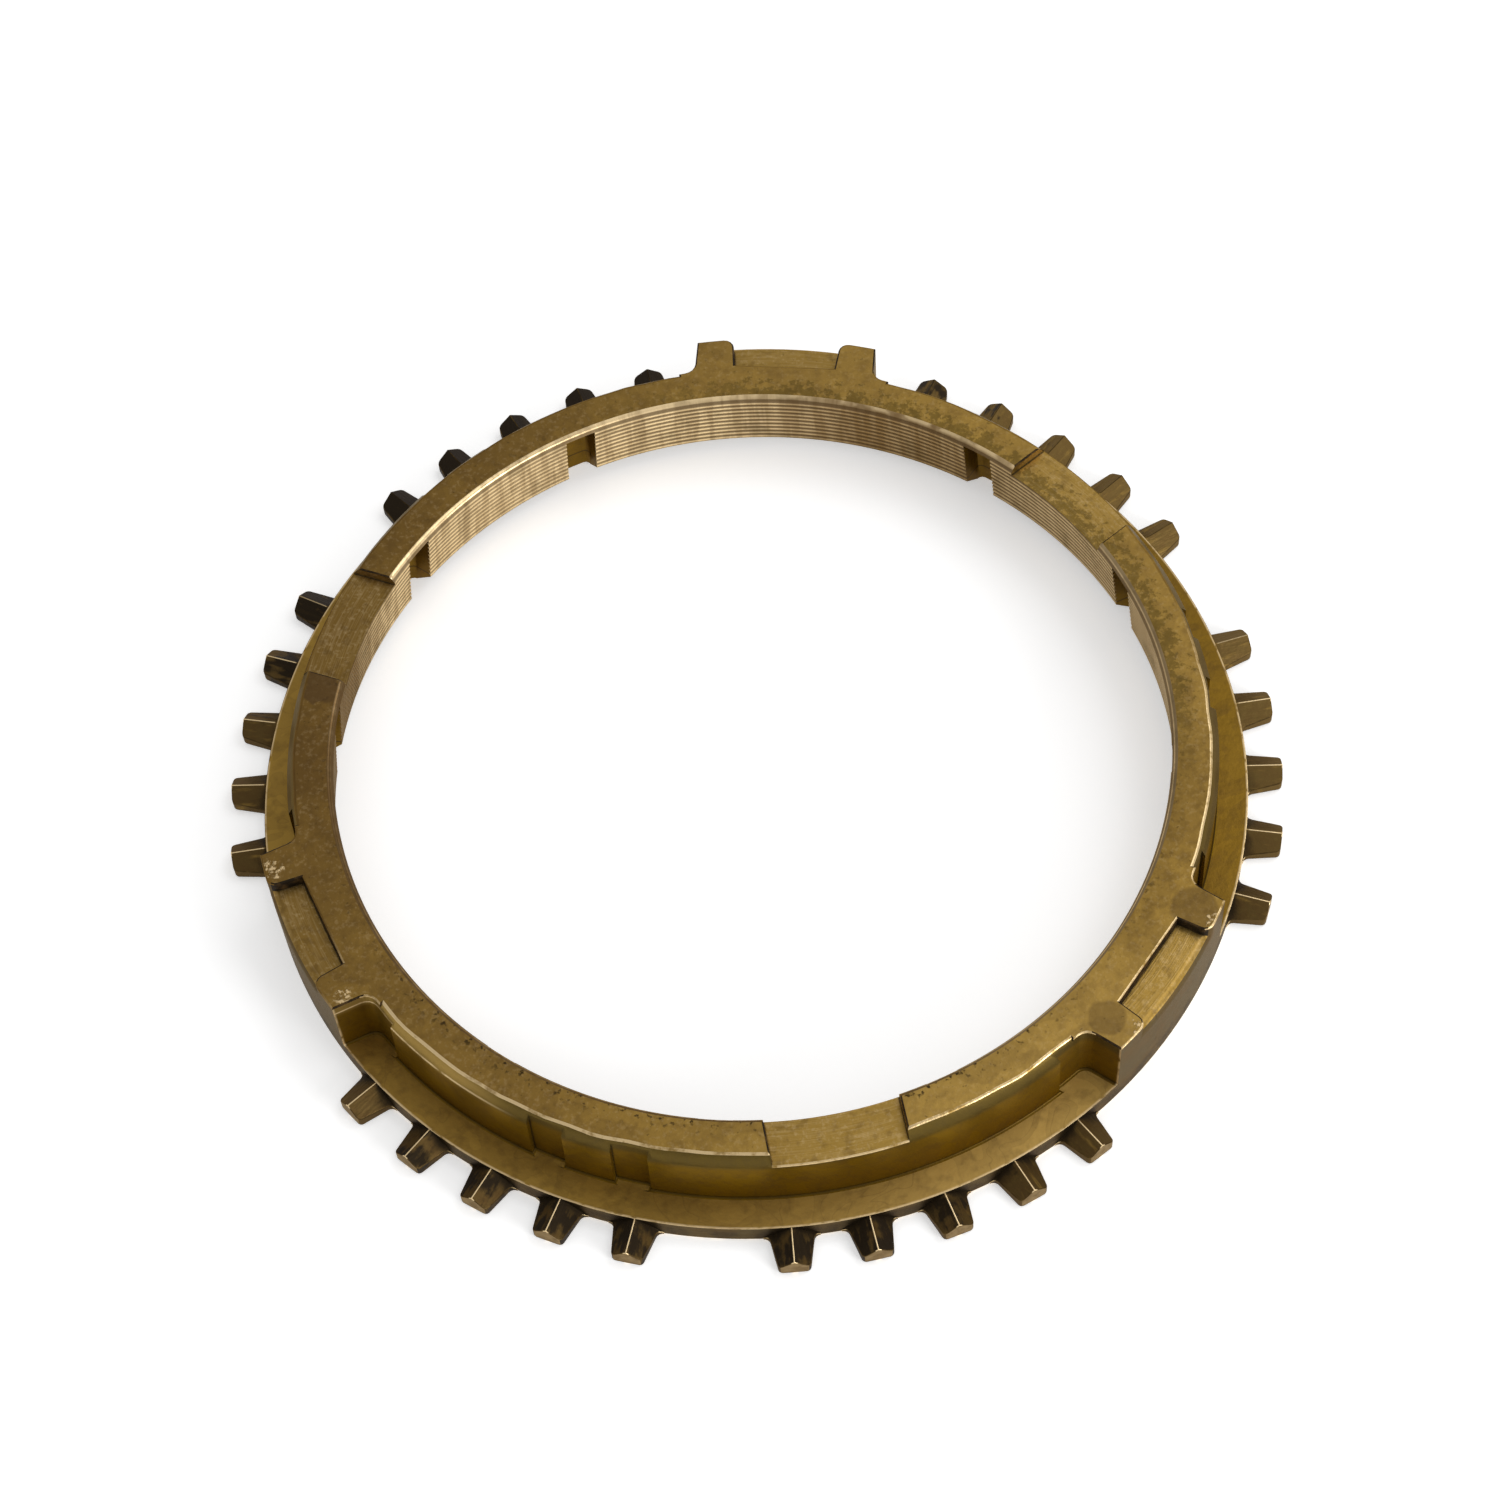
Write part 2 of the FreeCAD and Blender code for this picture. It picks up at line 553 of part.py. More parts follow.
beyond_tips = new_sketch("beyond_tips", "XZ_Plane", teeth)
far_r = tip_r + 2 * size["tooth_stock"]
blank_z = value(BLANK_HEIGHT)
straight_outline(beyond_tips, [(tip_r, 0), (far_r, 0), (far_r, blank_z), (tip_r, blank_z)])
fix(beyond_tips, "PointOnObject", 0, START, X_AXIS)
for line, direction in enumerate(("Horizontal", "Vertical", "Horizontal", "Vertical")):
    fix(beyond_tips, direction, line)
drive(beyond_tips, "tip_radius", "DistanceX", (*ORIGIN, 0, START), TIP_RADIUS)
drive(beyond_tips, "width", "DistanceX", (0, START, 1, START), "2 * Sizes.tooth_stock")
drive(beyond_tips, "height", "DistanceY", (*ORIGIN, 2, START), BLANK_HEIGHT)
turned_tips = teeth.newObject("PartDesign::Groove", "turned_tips")
turned_tips.Profile = beyond_tips
turned_tips.ReferenceAxis = (beyond_tips, ["V_Axis"])
turned_tips.Angle = 360
settle(turned_tips)

joined = ring.newObject("PartDesign::Boolean", "joined")
joined.Type = "Fuse"
joined.Group = [teeth]
settle(joined)

# Check of every object, and the finished piece

for item in doc.Objects:
    if "Invalid" in item.State or "Error" in item.State:
        raise RuntimeError(f"{item.Name} failed: {item.State}")
if ring.Shape.isNull() or not ring.Shape.isValid() or len(ring.Shape.Solids) != 1:
    raise RuntimeError(f"{NODE} is not one valid solid")

os.makedirs("parts", exist_ok=True)
ring.Shape.exportStep(f"parts/{NODE}.step")
print(f"{NODE}: {ring.Shape.Volume:.1f} cubic millimetres, {ring.Shape.BoundBox}")
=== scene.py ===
import math

import bmesh
import bpy
from mathutils import Matrix, Quaternion, Vector, noise


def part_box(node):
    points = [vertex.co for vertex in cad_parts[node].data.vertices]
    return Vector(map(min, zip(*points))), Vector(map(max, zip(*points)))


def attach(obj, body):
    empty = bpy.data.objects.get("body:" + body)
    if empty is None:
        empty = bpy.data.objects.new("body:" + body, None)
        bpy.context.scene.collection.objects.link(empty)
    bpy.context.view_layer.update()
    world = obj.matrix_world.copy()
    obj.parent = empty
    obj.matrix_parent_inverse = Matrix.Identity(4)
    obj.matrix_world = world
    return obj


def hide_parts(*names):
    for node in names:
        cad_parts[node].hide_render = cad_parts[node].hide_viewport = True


bl_info = {
    "name": "Synchronizer Ring",
    "version": (1, 0, 0),
    "blender": (4, 5, 0),
    "location": "View3D > Sidebar > Ring",
    "description": "A used brass synchronizer ring and the stage it is shown on",
    "category": "Add Mesh",
}

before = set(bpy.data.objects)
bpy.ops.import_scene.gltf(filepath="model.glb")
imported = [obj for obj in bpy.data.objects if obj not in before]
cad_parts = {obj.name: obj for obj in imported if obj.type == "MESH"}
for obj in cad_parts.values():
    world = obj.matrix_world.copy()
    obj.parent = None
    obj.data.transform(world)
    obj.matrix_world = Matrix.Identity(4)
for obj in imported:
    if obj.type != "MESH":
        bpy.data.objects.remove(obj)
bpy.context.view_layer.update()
NODE = "synchronizer_ring"
LOW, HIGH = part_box(NODE)
MM = 0.001
TINY = 0.002 * MM        # less than this apart, two places are one
SEAM_GAP = 20 * TINY     # what the seams between the sectors may be apart before they are closed

# Angles that tell one kind of face or edge from another
FLAT = math.radians(0.1)
SHARP = math.radians(28)
STEEP = math.radians(45)
SMOOTH = math.radians(48)

# How much of a face's normal has to be along a direction
LEVEL = 0.99
MOSTLY = 0.9
HALF = 0.5
SLIGHT = 0.3
FAINT = 0.2

FRAME_PIXELS = 1512
SENSOR = 36              # width in millimetres
LINE_SLOPE = 1.37        # keeps turned lines apart on faces of 45 degrees too
WHITE = (1, 1, 1, 1)
BLACK = (0, 0, 0, 1)

# Marks on the top face: along X, along Y, reach and raggedness in millimetres, then the seed
STAINS = ((29.8, -24.3, 1.7, 0.3), (36.4, -14.2, 2.1, 0.3), (-36.0, 2.8, 1.9, 1.2),
          (-36.8, 4.6, 1.1, 1.0))
BRUISES = ((-37.5, -14.6, 0.8, 0.9, 5), (32.6, -25.0, 1.0, 0.9, 8), (38.2, -15.4, 0.8, 0.9, 9),
           (-30.2, -25.8, 0.8, 0.9, 2))


def length(name, millimetres, description):
    return bpy.props.FloatProperty(name=name, description=description, default=millimetres * MM,
                                   unit="LENGTH", precision=5)


def angle(name, degrees, description):
    return bpy.props.FloatProperty(name=name, description=description,
                                   default=math.radians(degrees), unit="ROTATION")


def amount(name, count, description):
    return bpy.props.IntProperty(name=name, description=description, default=count, min=1)


def linear(shade):
    """Turns a shade from 0 to 255, as a screen shows it, into the light it stands for."""
    part = shade / 255
    return part / 12.92 if part <= 0.04045 else ((part + 0.055) / 1.055) ** 2.4


def colour(name, red, green, blue, description):
    return bpy.props.FloatVectorProperty(name=name, description=description, subtype="COLOR",
                                         size=3, min=0, max=1,
                                         default=[linear(shade) for shade in (red, green, blue)])


def plain(name, number, description):
    return bpy.props.FloatProperty(name=name, description=description, default=number)


def position(name, along, across, up, description):
    return bpy.props.FloatVectorProperty(name=name, description=description, subtype="TRANSLATION",
                                         size=3, unit="LENGTH", default=(along, across, up))


class RingSizes(bpy.types.PropertyGroup):
    """Sizes of the ring, in the frame's units."""

    height: length("Height", HIGH.z / MM, "Gear side to the top face")
    cone_radius: length("Cone radius", 34.4, "Friction cone at its narrow end")
    cone_angle: angle("Cone angle", 7, "Half angle of the friction cone")
    bore_chamfer: length("Bore chamfer", 0.5, "Chamfer between the cone and the top face")
    entry_height: length("Lead-in height", 1.75, "Lead-in below the cone")
    entry_width: length("Lead-in width", 1.9, "Width of that lead-in")
    thread_pitch: length("Thread pitch", 0.6235, "From one thread groove to the next")
    thread_first: length("First groove", 0.475, "Top face to the middle of the first groove")
    thread_width: length("Groove width", 0.36, "Thread groove at its mouth")
    thread_depth: length("Groove depth", 0.17, "Thread groove into the cone")
    thread_count: amount("Thread grooves", 10, "Thread grooves in the cone")
    wall_radius: length("Wall radius", 38.4, "Outside of the wall at the shelf")
    wall_draft: angle("Wall draft", 1, "Taper of the outside of the wall")
    wall_foot: length("Wall foot", 0.22, "Rounding between the wall and the shelf")
    rim_drop: length("Rim drop", 0.95, "Height of the bevel at the outer top edge")
    rim_width: length("Rim width", 0.65, "Width of that bevel")
    flange_radius: length("Flange radius", 41.05, "Outside of the flange and lugs")
    flange_thickness: length("Flange thickness", 2.05, "Gear side to the shelf")
    tip_radius: length("Tip radius", 44, "Outside of the teeth")
    tooth_count: amount("Pitches", 42, "Pitches of the spline all round")
    first_tooth: amount("First tooth", 2, "Pitches from the middle of a lug to a tooth")
    group_teeth: amount("Teeth in a group", 5, "Teeth on each side of a lug")
    tooth_root: length("Tooth root", 3.6, "Tooth where it leaves the flange")
    tooth_tip: length("Tooth tip", 2.5, "Tooth at its tip")
    tooth_seat: length("Tooth seat", 0.6, "Start of the tooth inside the flange")
    tooth_drop: length("Tooth drop", 0.05, "Ridge of the tooth below the shelf")
    tooth_bevel: angle("Tooth bevel", 36, "Slope of the two upper faces")
    tooth_foot: length("Tooth foot", 0.45, "Rounding beside the foot of a tooth")
    lug_count: amount("Lugs", 3, "Lugs around the ring")
    lug_width: length("Lug width", 15.7, "Lug between its two parallel sides")
    lug_edge: length("Lug edge", 0.8, "Rounding of the outer edges of a lug")
    lug_corner: length("Lug corner", 0.8, "Rounding between a lug and the wall")
    ledge_depth: length("Ledge depth", 1, "Ledge of a lug below the top face")
    ledge_back: length("Ledge back", 38, "Axis to the straight back of the ledge")
    ledge_angle: angle("Ledge half angle", 6.6, "Half the span of the ledge")
    slot_angle: angle("Slot angle", 45, "Lug to oil slot, clockwise from above")
    slot_width: length("Slot width", 10.7, "Oil slot along the rim")
    slot_depth: length("Slot depth", 0.95, "Oil slot below the top face")
    recess_angle: angle("Recess angle", 45, "Lug to pair of recesses, counterclockwise")
    recess_spread: angle("Recess spread", 10.5, "Between the two recesses of a pair")
    recess_width: length("Recess width", 3, "Recess along the wall")
    recess_depth: length("Recess depth", 0.5, "Recess into the wall")
    relief_width: length("Relief width", 3.1, "Relief in the wall beside a lug")
    relief_depth: length("Relief depth", 0.45, "Depth of that relief")
    groove_step: angle("Groove step", 30, "Between two axial grooves")
    groove_count: amount("Axial grooves", 3, "Axial grooves between two lugs")
    groove_width: length("Axial groove width", 2.7, "Axial groove along the bore")
    groove_depth: length("Axial groove depth", 2, "Axial groove into the cone")
    groove_corner: length("Groove corner", 0.5, "Rounding along its floor")
    groove_stop: length("Groove stop", 0.6, "Its closed end to the top face")
    stock: length("Stock", 0.5, "Turned off the gear side after the teeth are on")
    edge_break: length("Edge break", 0.14, "Worn width of every sharp edge")
    tooth_break: length("Tooth edge break", 0.06, "Worn width of the edges of the teeth")
    tip_corner: length("Tip corner", 0.3, "Rounding of the upright edges at a tip")
    gear_break: length("Gear side break", 0.18, "Rounding of the edges of the gear side")
    rim_swing: length("Rim swing", 0.14, "How far the worn top edge runs in and out")
    rim_wave: length("Rim wave", 2.6, "From one swing of that edge to the next")
    sector_start: angle("Sector start", -56, "First end of the modelled sector, from its lug")
    spare: angle("Spare", 1.2, "Cut off each end once the edges are round")
    column: angle("Column", 1.5, "Between two columns of faces")


class RingColours(bpy.types.PropertyGroup):
    """Colours of the used brass."""

    golden: colour("Golden brass", 164, 131, 62, "Brass that handling has kept clean")
    brown: colour("Brown brass", 100, 74, 36, "Brass that has browned")
    # Also laid as painted highlights on the thread, the edges and the tooth ridges
    bare_and_highlight: colour("Bare brass", 248, 220, 170, "Freshly cut or rubbed brass")
    # Painted light: this sandy colour stands for a dull face in the light on the near right, and
    # also tints the far right
    sand_and_light: colour("Sandy brass", 192, 158, 88, "Dull face in the light, near right")
    shelf: colour("Oiled shelf", 132, 101, 32, "Shelf under a film of old oil")
    pocket: colour("Oiled pocket", 118, 89, 13, "Wall and corners where oil has dried")
    band: colour("Rim band", 80, 69, 38, "Grey-green band under the outer top edge")
    tan: colour("Grey tan", 90, 76, 50, "Dull outside of the lugs and the flange")
    tooth: colour("Tooth", 90, 71, 38, "Flanks of the teeth")
    cut: colour("Cut brass", 140, 112, 74, "Flanks of the friction thread")
    tip: colour("Tooth tip", 144, 122, 88, "Turned ends of the teeth")
    # Also laid as painted shade on the thread lands and the step sides
    stain_and_shade: colour("Stain", 84, 62, 34, "Dried stains and tide marks")
    patina: colour("Patina", 76, 62, 22, "Greenish brown patches")
    film: colour("Film", 190, 176, 150, "Tint of the shine at flat angles")
    # Also laid as painted shade in corners, along hollow edges and at the roots of the teeth
    grime_and_shade: colour("Grime", 30, 23, 16, "Black grime on the teeth and in corners")


class RingStage(bpy.types.PropertyGroup):
    """Camera, lamps and floor."""

    lens: plain("Lens", 81.93, "Focal length in millimetres")
    shift_right: plain("Shift right", 2.316 / FRAME_PIXELS, "Camera shift in frame widths")
    shift_up: plain("Shift up", 18.308 / FRAME_PIXELS, "Camera shift in frame widths")
    aim: length("Aim", 2.1, "Height of the point that the camera looks at")
    distance: length("Distance", 287.67, "Camera to that point")
    azimuth: angle("Azimuth", 8.6787, "Camera round the ring, from the front")
    elevation: angle("Elevation", 58.9923, "Camera above the floor")
    roll: angle("Roll", -4.8909, "Turn of the camera about its own view")
    sky: plain("Sky", 0.6, "Level of the even light from all round")
    floor: colour("Floor", 243, 243, 243, "Pale floor under the ring")
    floor_width: length("Floor width", 3000, "Side of the floor")
    floor_glow: plain("Floor glow", 0.4, "Added to the floor where the camera or metal sees it")
    key_place: position("Key lamp", 0.32, 0.22, 0.52, "Large soft lamp above the right-hand side")
    key_size: length("Key size", 420, "Side of that lamp")
    key_power: plain("Key power", 0.9, "Watts of that lamp")
    side_place: position("Side lamp", 0.55, -0.35, 0.2, "Low lamp for the far left of the bore")
    side_size: length("Side size", 300, "Side of that lamp")
    side_power: plain("Side power", 2.4, "Watts of that lamp")


def ring_sizes():
    return bpy.context.scene.ring_sizes


def in_mm(name):
    """One of the ring's sizes in millimetres, for its materials."""
    return getattr(ring_sizes(), name) / MM


# Selecting and editing


def only(piece):
    """Makes one piece the selected and active one."""
    bpy.ops.object.select_all(action="DESELECT")
    piece.select_set(True)
    bpy.context.view_layer.objects.active = piece
    return piece


def named(name):
    piece = bpy.context.object
    piece.name = name
    piece.data.name = name
    return piece


def edit(piece, kind="FACE"):
    only(piece)
    bpy.ops.object.mode_set(mode="EDIT")
    bpy.ops.mesh.select_mode(type=kind)
    select_all()


def leave_edit():
    bpy.ops.object.mode_set(mode="OBJECT")


def select_all(action="SELECT"):
    bpy.ops.mesh.select_all(action=action)


def face_outwards():
    """Turns every face of the edited mesh to the outside."""
    select_all()
    bpy.ops.mesh.normals_make_consistent(inside=False)


def at(number, target):
    return abs(number - target) < TINY


def whole(test):
    """The test of an edge that is passed when both its ends pass a test of places."""
    return lambda edge: all(test(vertex.co) for vertex in edge.verts)


def span(edge):
    return edge.verts[1].co - edge.verts[0].co


def enlarge(piece):
    """Makes a mesh a thousand times as large, for tools that are too coarse for a small part."""
    piece.data.transform(Matrix.Scale(1 / MM, 4))


def restore(piece):
    piece.data.transform(Matrix.Scale(MM, 4))
    piece.data.update()


def soften(piece, wanted, width, segments, material=-1):
    """Bevels the edges that pass a test."""
    edit(piece, "EDGE")
    select_all("DESELECT")
    for edge in bmesh.from_edit_mesh(piece.data).edges:
        if wanted(edge):
            edge.select_set(True)
    bmesh.update_edit_mesh(piece.data)
    leave_edit()
    enlarge(piece)
    bpy.ops.object.mode_set(mode="EDIT")
    bpy.ops.mesh.bevel(offset=width / MM, segments=segments, affect="EDGES",
                       clamp_overlap=False, material=material)
    leave_edit()
    restore(piece)


def slice_across(piece, places):
    """Cuts a piece by planes square to X, which adds edges and removes nothing."""
    edit(piece)
    for place in places:
        select_all()
        bpy.ops.mesh.bisect(plane_co=(place, 0, 0), plane_no=(1, 0, 0), threshold=TINY * MM)
    leave_edit()


def use_boolean(piece, tool, operation):
    """Joins a tool body to a piece or cuts it out, and removes the tool."""
    only(piece)
    enlarge(piece)
    enlarge(tool)
    modifier = piece.modifiers.new(operation.lower(), "BOOLEAN")
    modifier.operation = operation
    modifier.solver = "EXACT"
    modifier.object = tool
    bpy.ops.object.modifier_apply(modifier=modifier.name)
    bpy.data.objects.remove(tool)
    restore(piece)
    set_in_order(piece.data)


def set_in_order(mesh):
    """Orders points and faces by place, since a boolean leaves their order to chance."""
    grid = TINY / 10

    def rank(vertex):
        return [round(number / grid) for number in vertex.co], list(vertex.co)

    points = sorted(mesh.vertices, key=rank)
    index = {vertex.index: k for k, vertex in enumerate(points)}
    faces = []
    for face in mesh.polygons:
        corners = [index[vertex] for vertex in face.vertices]
        first = corners.index(min(corners))
        faces.append((corners[first:] + corners[:first], face.material_index))
    faces.sort()
    places = [list(vertex.co) for vertex in points]
    mesh.clear_geometry()
    mesh.from_pydata(places, [], [corners for corners, _ in faces])
    for face, (_, material) in zip(mesh.polygons, faces):
        face.material_index = material


def tidy(piece):
    """Merges doubled points and joins faces that lie in one plane."""
    edit(piece)
    bpy.ops.mesh.remove_doubles(threshold=TINY)
    bpy.ops.mesh.dissolve_limited(angle_limit=FLAT, delimit={"MATERIAL"})
    leave_edit()
    return piece


def duplicate(piece):
    """A copy of a piece, with a mesh of its own."""
    copy = piece.copy()
    copy.data = piece.data.copy()
    bpy.context.scene.collection.objects.link(copy)
    return copy


def joined(pieces, name):
    only(pieces[0])
    for piece in pieces:
        piece.select_set(True)
    bpy.ops.object.join()
    return named(name)


# Bars and blocks, made flat: X runs along the rim, Y is the radius, Z the height


def bar(name, outline, start, end):
    """A straight bar of one section, its outline given as radius and height."""
    bpy.ops.mesh.primitive_circle_add(vertices=len(outline), radius=MM, fill_type="NGON")
    piece = named(name)
    for vertex, (radius, height) in zip(piece.data.vertices, outline):
        vertex.co = (start, radius, height)
    edit(piece)
    bpy.ops.mesh.extrude_region_move(TRANSFORM_OT_translate={"value": (end - start, 0, 0)})
    face_outwards()
    leave_edit()
    return piece


def block(name, sides, radii, heights):
    """A block between two sides, two radii and two heights."""
    spans = [Vector(pair) for pair in (sides, radii, heights)]
    middle = [(low + high) / 2 for low, high in spans]
    lengths = [high - low for low, high in spans]
    bpy.ops.mesh.primitive_cube_add(size=1, location=middle, scale=lengths)
    piece = only(named(name))
    bpy.ops.object.transform_apply(location=True, rotation=True, scale=True)
    return piece


def bend_radius():
    return ring_sizes().wall_radius


def lay_flat(piece, turn=0, along_arcs=False):
    """Moves a body modelled true, its middle on +Y, to its place on the flat bar."""
    for vertex in piece.data.vertices:
        aside, out, height = vertex.co
        if along_arcs:
            away, radius = math.asin(aside / out), out
        else:
            away, radius = math.atan2(aside, out), math.hypot(aside, out)
        vertex.co = ((turn + away) * bend_radius(), radius, height)
    return piece


def bend_round(piece):
    """Bends the flat bar to its true round form."""
    for vertex in piece.data.vertices:
        along, radius, height = vertex.co
        turn = along / bend_radius()
        vertex.co = (radius * math.sin(turn), radius * math.cos(turn), height)
    return piece


# The ring


def cone_at(height):
    size = ring_sizes()
    top = size.height - size.bore_chamfer
    return size.cone_radius + (top - height) * math.tan(size.cone_angle)


def lug_section():
    """Section through a lug, from the gear side round to the threaded cone."""
    size = ring_sizes()
    entry_radius = cone_at(size.entry_height) + size.entry_width
    outline = [
        (entry_radius + size.stock * size.entry_width / size.entry_height, -size.stock),
        (size.flange_radius, -size.stock),
        (size.flange_radius, size.height),
        (size.cone_radius + size.bore_chamfer, size.height),
    ]
    for k in range(size.thread_count):
        middle = size.height - size.thread_first - k * size.thread_pitch
        upper = middle + size.thread_width / 2
        lower = middle - size.thread_width / 2
        mouth = cone_at(upper)
        if k == 0:
            mouth = size.cone_radius + upper - (size.height - size.bore_chamfer)
        outline += [(mouth, upper), (cone_at(middle) + size.thread_depth, middle),
                    (cone_at(lower), lower)]
    outline.append((cone_at(size.entry_height), size.entry_height))
    return outline


def quarter(radius, steps):
    """Points along a rounding between two faces, as their distances from both."""
    turns = [k / steps * math.pi / 2 for k in range(steps + 1)]
    return [(radius * (1 - math.sin(turn)), radius * (1 - math.cos(turn))) for turn in turns]


def wall_cutter(side, sector_end):
    """What is outside the wall and its bevelled rim, from a lug to a sector's end."""
    size = ring_sizes()
    above = size.height + MM
    beyond = size.tip_radius
    rim_height = size.height - size.rim_drop
    rim_radius = size.wall_radius - (rim_height - size.flange_thickness) * math.tan(size.wall_draft)
    rim_slope = size.rim_width / size.rim_drop
    outline = [(size.wall_radius + out, size.flange_thickness + up)
               for out, up in quarter(size.wall_foot, steps=3)]
    outline += [
        (rim_radius, rim_height),
        (rim_radius - (above - rim_height) * rim_slope, above),
        (beyond, above),
        (beyond, size.flange_thickness),
    ]
    near = side * (size.lug_width + size.relief_width) / 2
    return bar("wall_cutter", outline, near, sector_end * bend_radius() + side * MM)


def ledge_cutter():
    size = ring_sizes()
    half = size.ledge_back * math.tan(size.ledge_angle)
    out = size.flange_radius + MM
    cutter = block("ledge_cutter", (-half, half), (size.ledge_back, out),
                   (size.height - size.ledge_depth, size.height + MM))
    for vertex in cutter.data.vertices:
        vertex.co.x *= vertex.co.y / size.ledge_back
    columns = 8
    slice_across(cutter, [half * (2 * k / columns - 1) for k in range(1, columns)])
    return lay_flat(cutter)


def slot_cutter():
    size = ring_sizes()
    cutter = block("slot_cutter", (-size.slot_width / 2, size.slot_width / 2),
                   (size.cone_radius - MM, size.wall_radius + MM),
                   (size.height - size.slot_depth, size.height + MM))
    return lay_flat(cutter, size.slot_angle)


def round_foot(cutter):
    """Rounds the lower edges of a cutter, which leaves a rounded foot in what it cuts."""
    size = ring_sizes()
    foot = whole(lambda place: place.z < size.flange_thickness + TINY)
    soften(cutter, foot, size.wall_foot, segments=3)
    return cutter


def recess_cutter(turn):
    size = ring_sizes()
    cutter = block("recess_cutter", (-size.recess_width / 2, size.recess_width / 2),
                   (size.wall_radius - size.recess_depth, size.flange_radius + MM),
                   (size.flange_thickness, size.height + MM))
    return lay_flat(round_foot(cutter), turn)


def relief_cutter(side):
    size = ring_sizes()
    near = side * size.lug_width / 2
    far = side * (size.lug_width / 2 + size.relief_width)
    back = size.wall_radius - size.relief_depth
    cutter = block("relief_cutter", sorted((near, far)), (back, size.flange_radius + MM),
                   (size.flange_thickness, size.height + MM))
    corner = whole(lambda place: at(place.x, near) and place.y < back + TINY)
    soften(cutter, corner, size.lug_corner, segments=4)
    return lay_flat(round_foot(cutter), along_arcs=True)


def groove_cutter(turn):
    """An axial groove: parallel to the cone, with a rounded floor."""
    size = ring_sizes()
    half = size.groove_width / 2
    top = size.height - size.groove_stop
    inside = size.cone_radius - MM
    cutter = block("groove_cutter", (-half, half), (inside, size.wall_radius), (-MM, top))
    mouth = cone_at(top)
    deep = mouth + size.groove_depth
    for vertex in cutter.data.vertices:
        is_deep = vertex.co.y > inside + TINY
        if vertex.co.z > 0:
            vertex.co.z += ((deep if is_deep else inside) - mouth) * math.tan(size.cone_angle)
        if is_deep:
            vertex.co.y = cone_at(vertex.co.z) + size.groove_depth
    behind = whole(lambda place: place.y > inside + TINY)
    soften(cutter, lambda edge: behind(edge) and abs(span(edge).z) > MM, size.groove_corner,
           segments=3)
    return lay_flat(cutter, turn)


def is_sharp(edge, least=SHARP):
    return len(edge.link_faces) == 2 and edge.calc_face_angle_signed() > least


def zone(middle, normal):
    """The finish of a face of the flat sector, from its middle and its normal."""
    size = ring_sizes()
    shelf = size.flange_thickness
    inside = cone_at(middle.z) + size.thread_depth + TINY
    if normal.z < -LEVEL:
        return "gear_side"
    if middle.y > size.tip_radius - TINY:
        return "tooth_tip"
    if middle.y > size.flange_radius + TINY or (middle.z < shelf - TINY and normal.z > HALF):
        return "tooth_grime_and_shade"
    if middle.y > size.flange_radius - TINY:
        return "turned_outside"
    if normal.z > LEVEL:
        if middle.z > size.height - TINY:
            return "forged_top"
        return "milled_floor" if middle.z > shelf + TINY else "oiled_shelf"
    if middle.z < size.entry_height and normal.y < 0:
        return "turned_outside"
    if middle.y < inside and normal.y < -HALF:
        return "machined_thread"
    if middle.y < size.wall_radius - size.relief_depth - MM:
        if normal.z > FAINT and middle.z > size.height - size.thread_first:
            return "machined_thread"
        return "milled_floor" if middle.z > size.height - size.ledge_depth else "axial_groove"
    if normal.z > SLIGHT and middle.z > size.height - size.rim_drop:
        return "oiled_wall"
    # Low upright sides of slots and ledges get painted shade
    if middle.z > size.height - size.ledge_depth:
        return "painted_shade_step"
    return "oiled_wall"


def slot_of(name):
    return list(FINISHES).index(name)


def add_slots(piece):
    for name in FINISHES:
        piece.data.materials.append(bpy.data.materials[name])


def give_zones(piece):
    """Gives every face of a flat piece that has none yet its material slot."""
    for face in piece.data.polygons:
        if face.material_index == 0:
            face.material_index = slot_of(zone(face.center, face.normal))
    return piece


def tooth():
    """A tooth with its middle on +Y: flared foot, narrowing sides, pointed top."""
    size = ring_sizes()
    slope = math.tan(size.tooth_bevel)
    ridge = size.flange_thickness - size.tooth_drop
    narrowing = (size.tooth_root - size.tooth_tip) / 2 / (size.tip_radius - size.flange_radius)
    bottom = -size.stock / 2

    def half_width(radius):
        return size.tooth_root / 2 - (radius - size.flange_radius) * narrowing

    stations = [(size.flange_radius - size.tooth_seat, size.tooth_root / 2 + size.tooth_foot)]
    for aside, out in quarter(size.tooth_foot, steps=4):
        radius = size.flange_radius + out
        stations.append((radius, half_width(radius) + aside))
    stations.append((size.tip_radius, half_width(size.tip_radius)))

    corners = 5
    bpy.ops.mesh.primitive_circle_add(vertices=corners, radius=MM, fill_type="NGON")
    piece = named("tooth")
    edit(piece)
    for _ in stations[1:]:
        bpy.ops.mesh.extrude_region_move(TRANSFORM_OT_translate={"value": (0, 0, MM)})
    leave_edit()
    rim = [vertex.co.copy() for vertex in piece.data.vertices[:corners]]
    for vertex in piece.data.vertices:
        radius, half = stations[round(vertex.co.z / MM)]
        eaves = ridge - half * slope
        outline = ((-half, bottom), (half, bottom), (half, eaves), (0, ridge), (-half, eaves))
        corner = min(range(corners), key=lambda k: (rim[k] - vertex.co).xy.length)
        aside, height = outline[corner]
        vertex.co = (aside, radius, height)
    edit(piece)
    face_outwards()
    leave_edit()
    add_slots(piece)
    give_zones(piece)
    at_tip = whole(lambda place: place.y > size.tip_radius - TINY)
    above = whole(lambda place: place.z > 0)
    soften(piece, lambda edge: at_tip(edge) and at(span(edge).x, 0), size.tip_corner, segments=3)
    soften(piece, lambda edge: is_sharp(edge) and above(edge)
           and max(vertex.co.y for vertex in edge.verts) > size.flange_radius + TINY,
           size.tooth_break, segments=2, material=slot_of("worn_and_lit_edge"))
    return piece


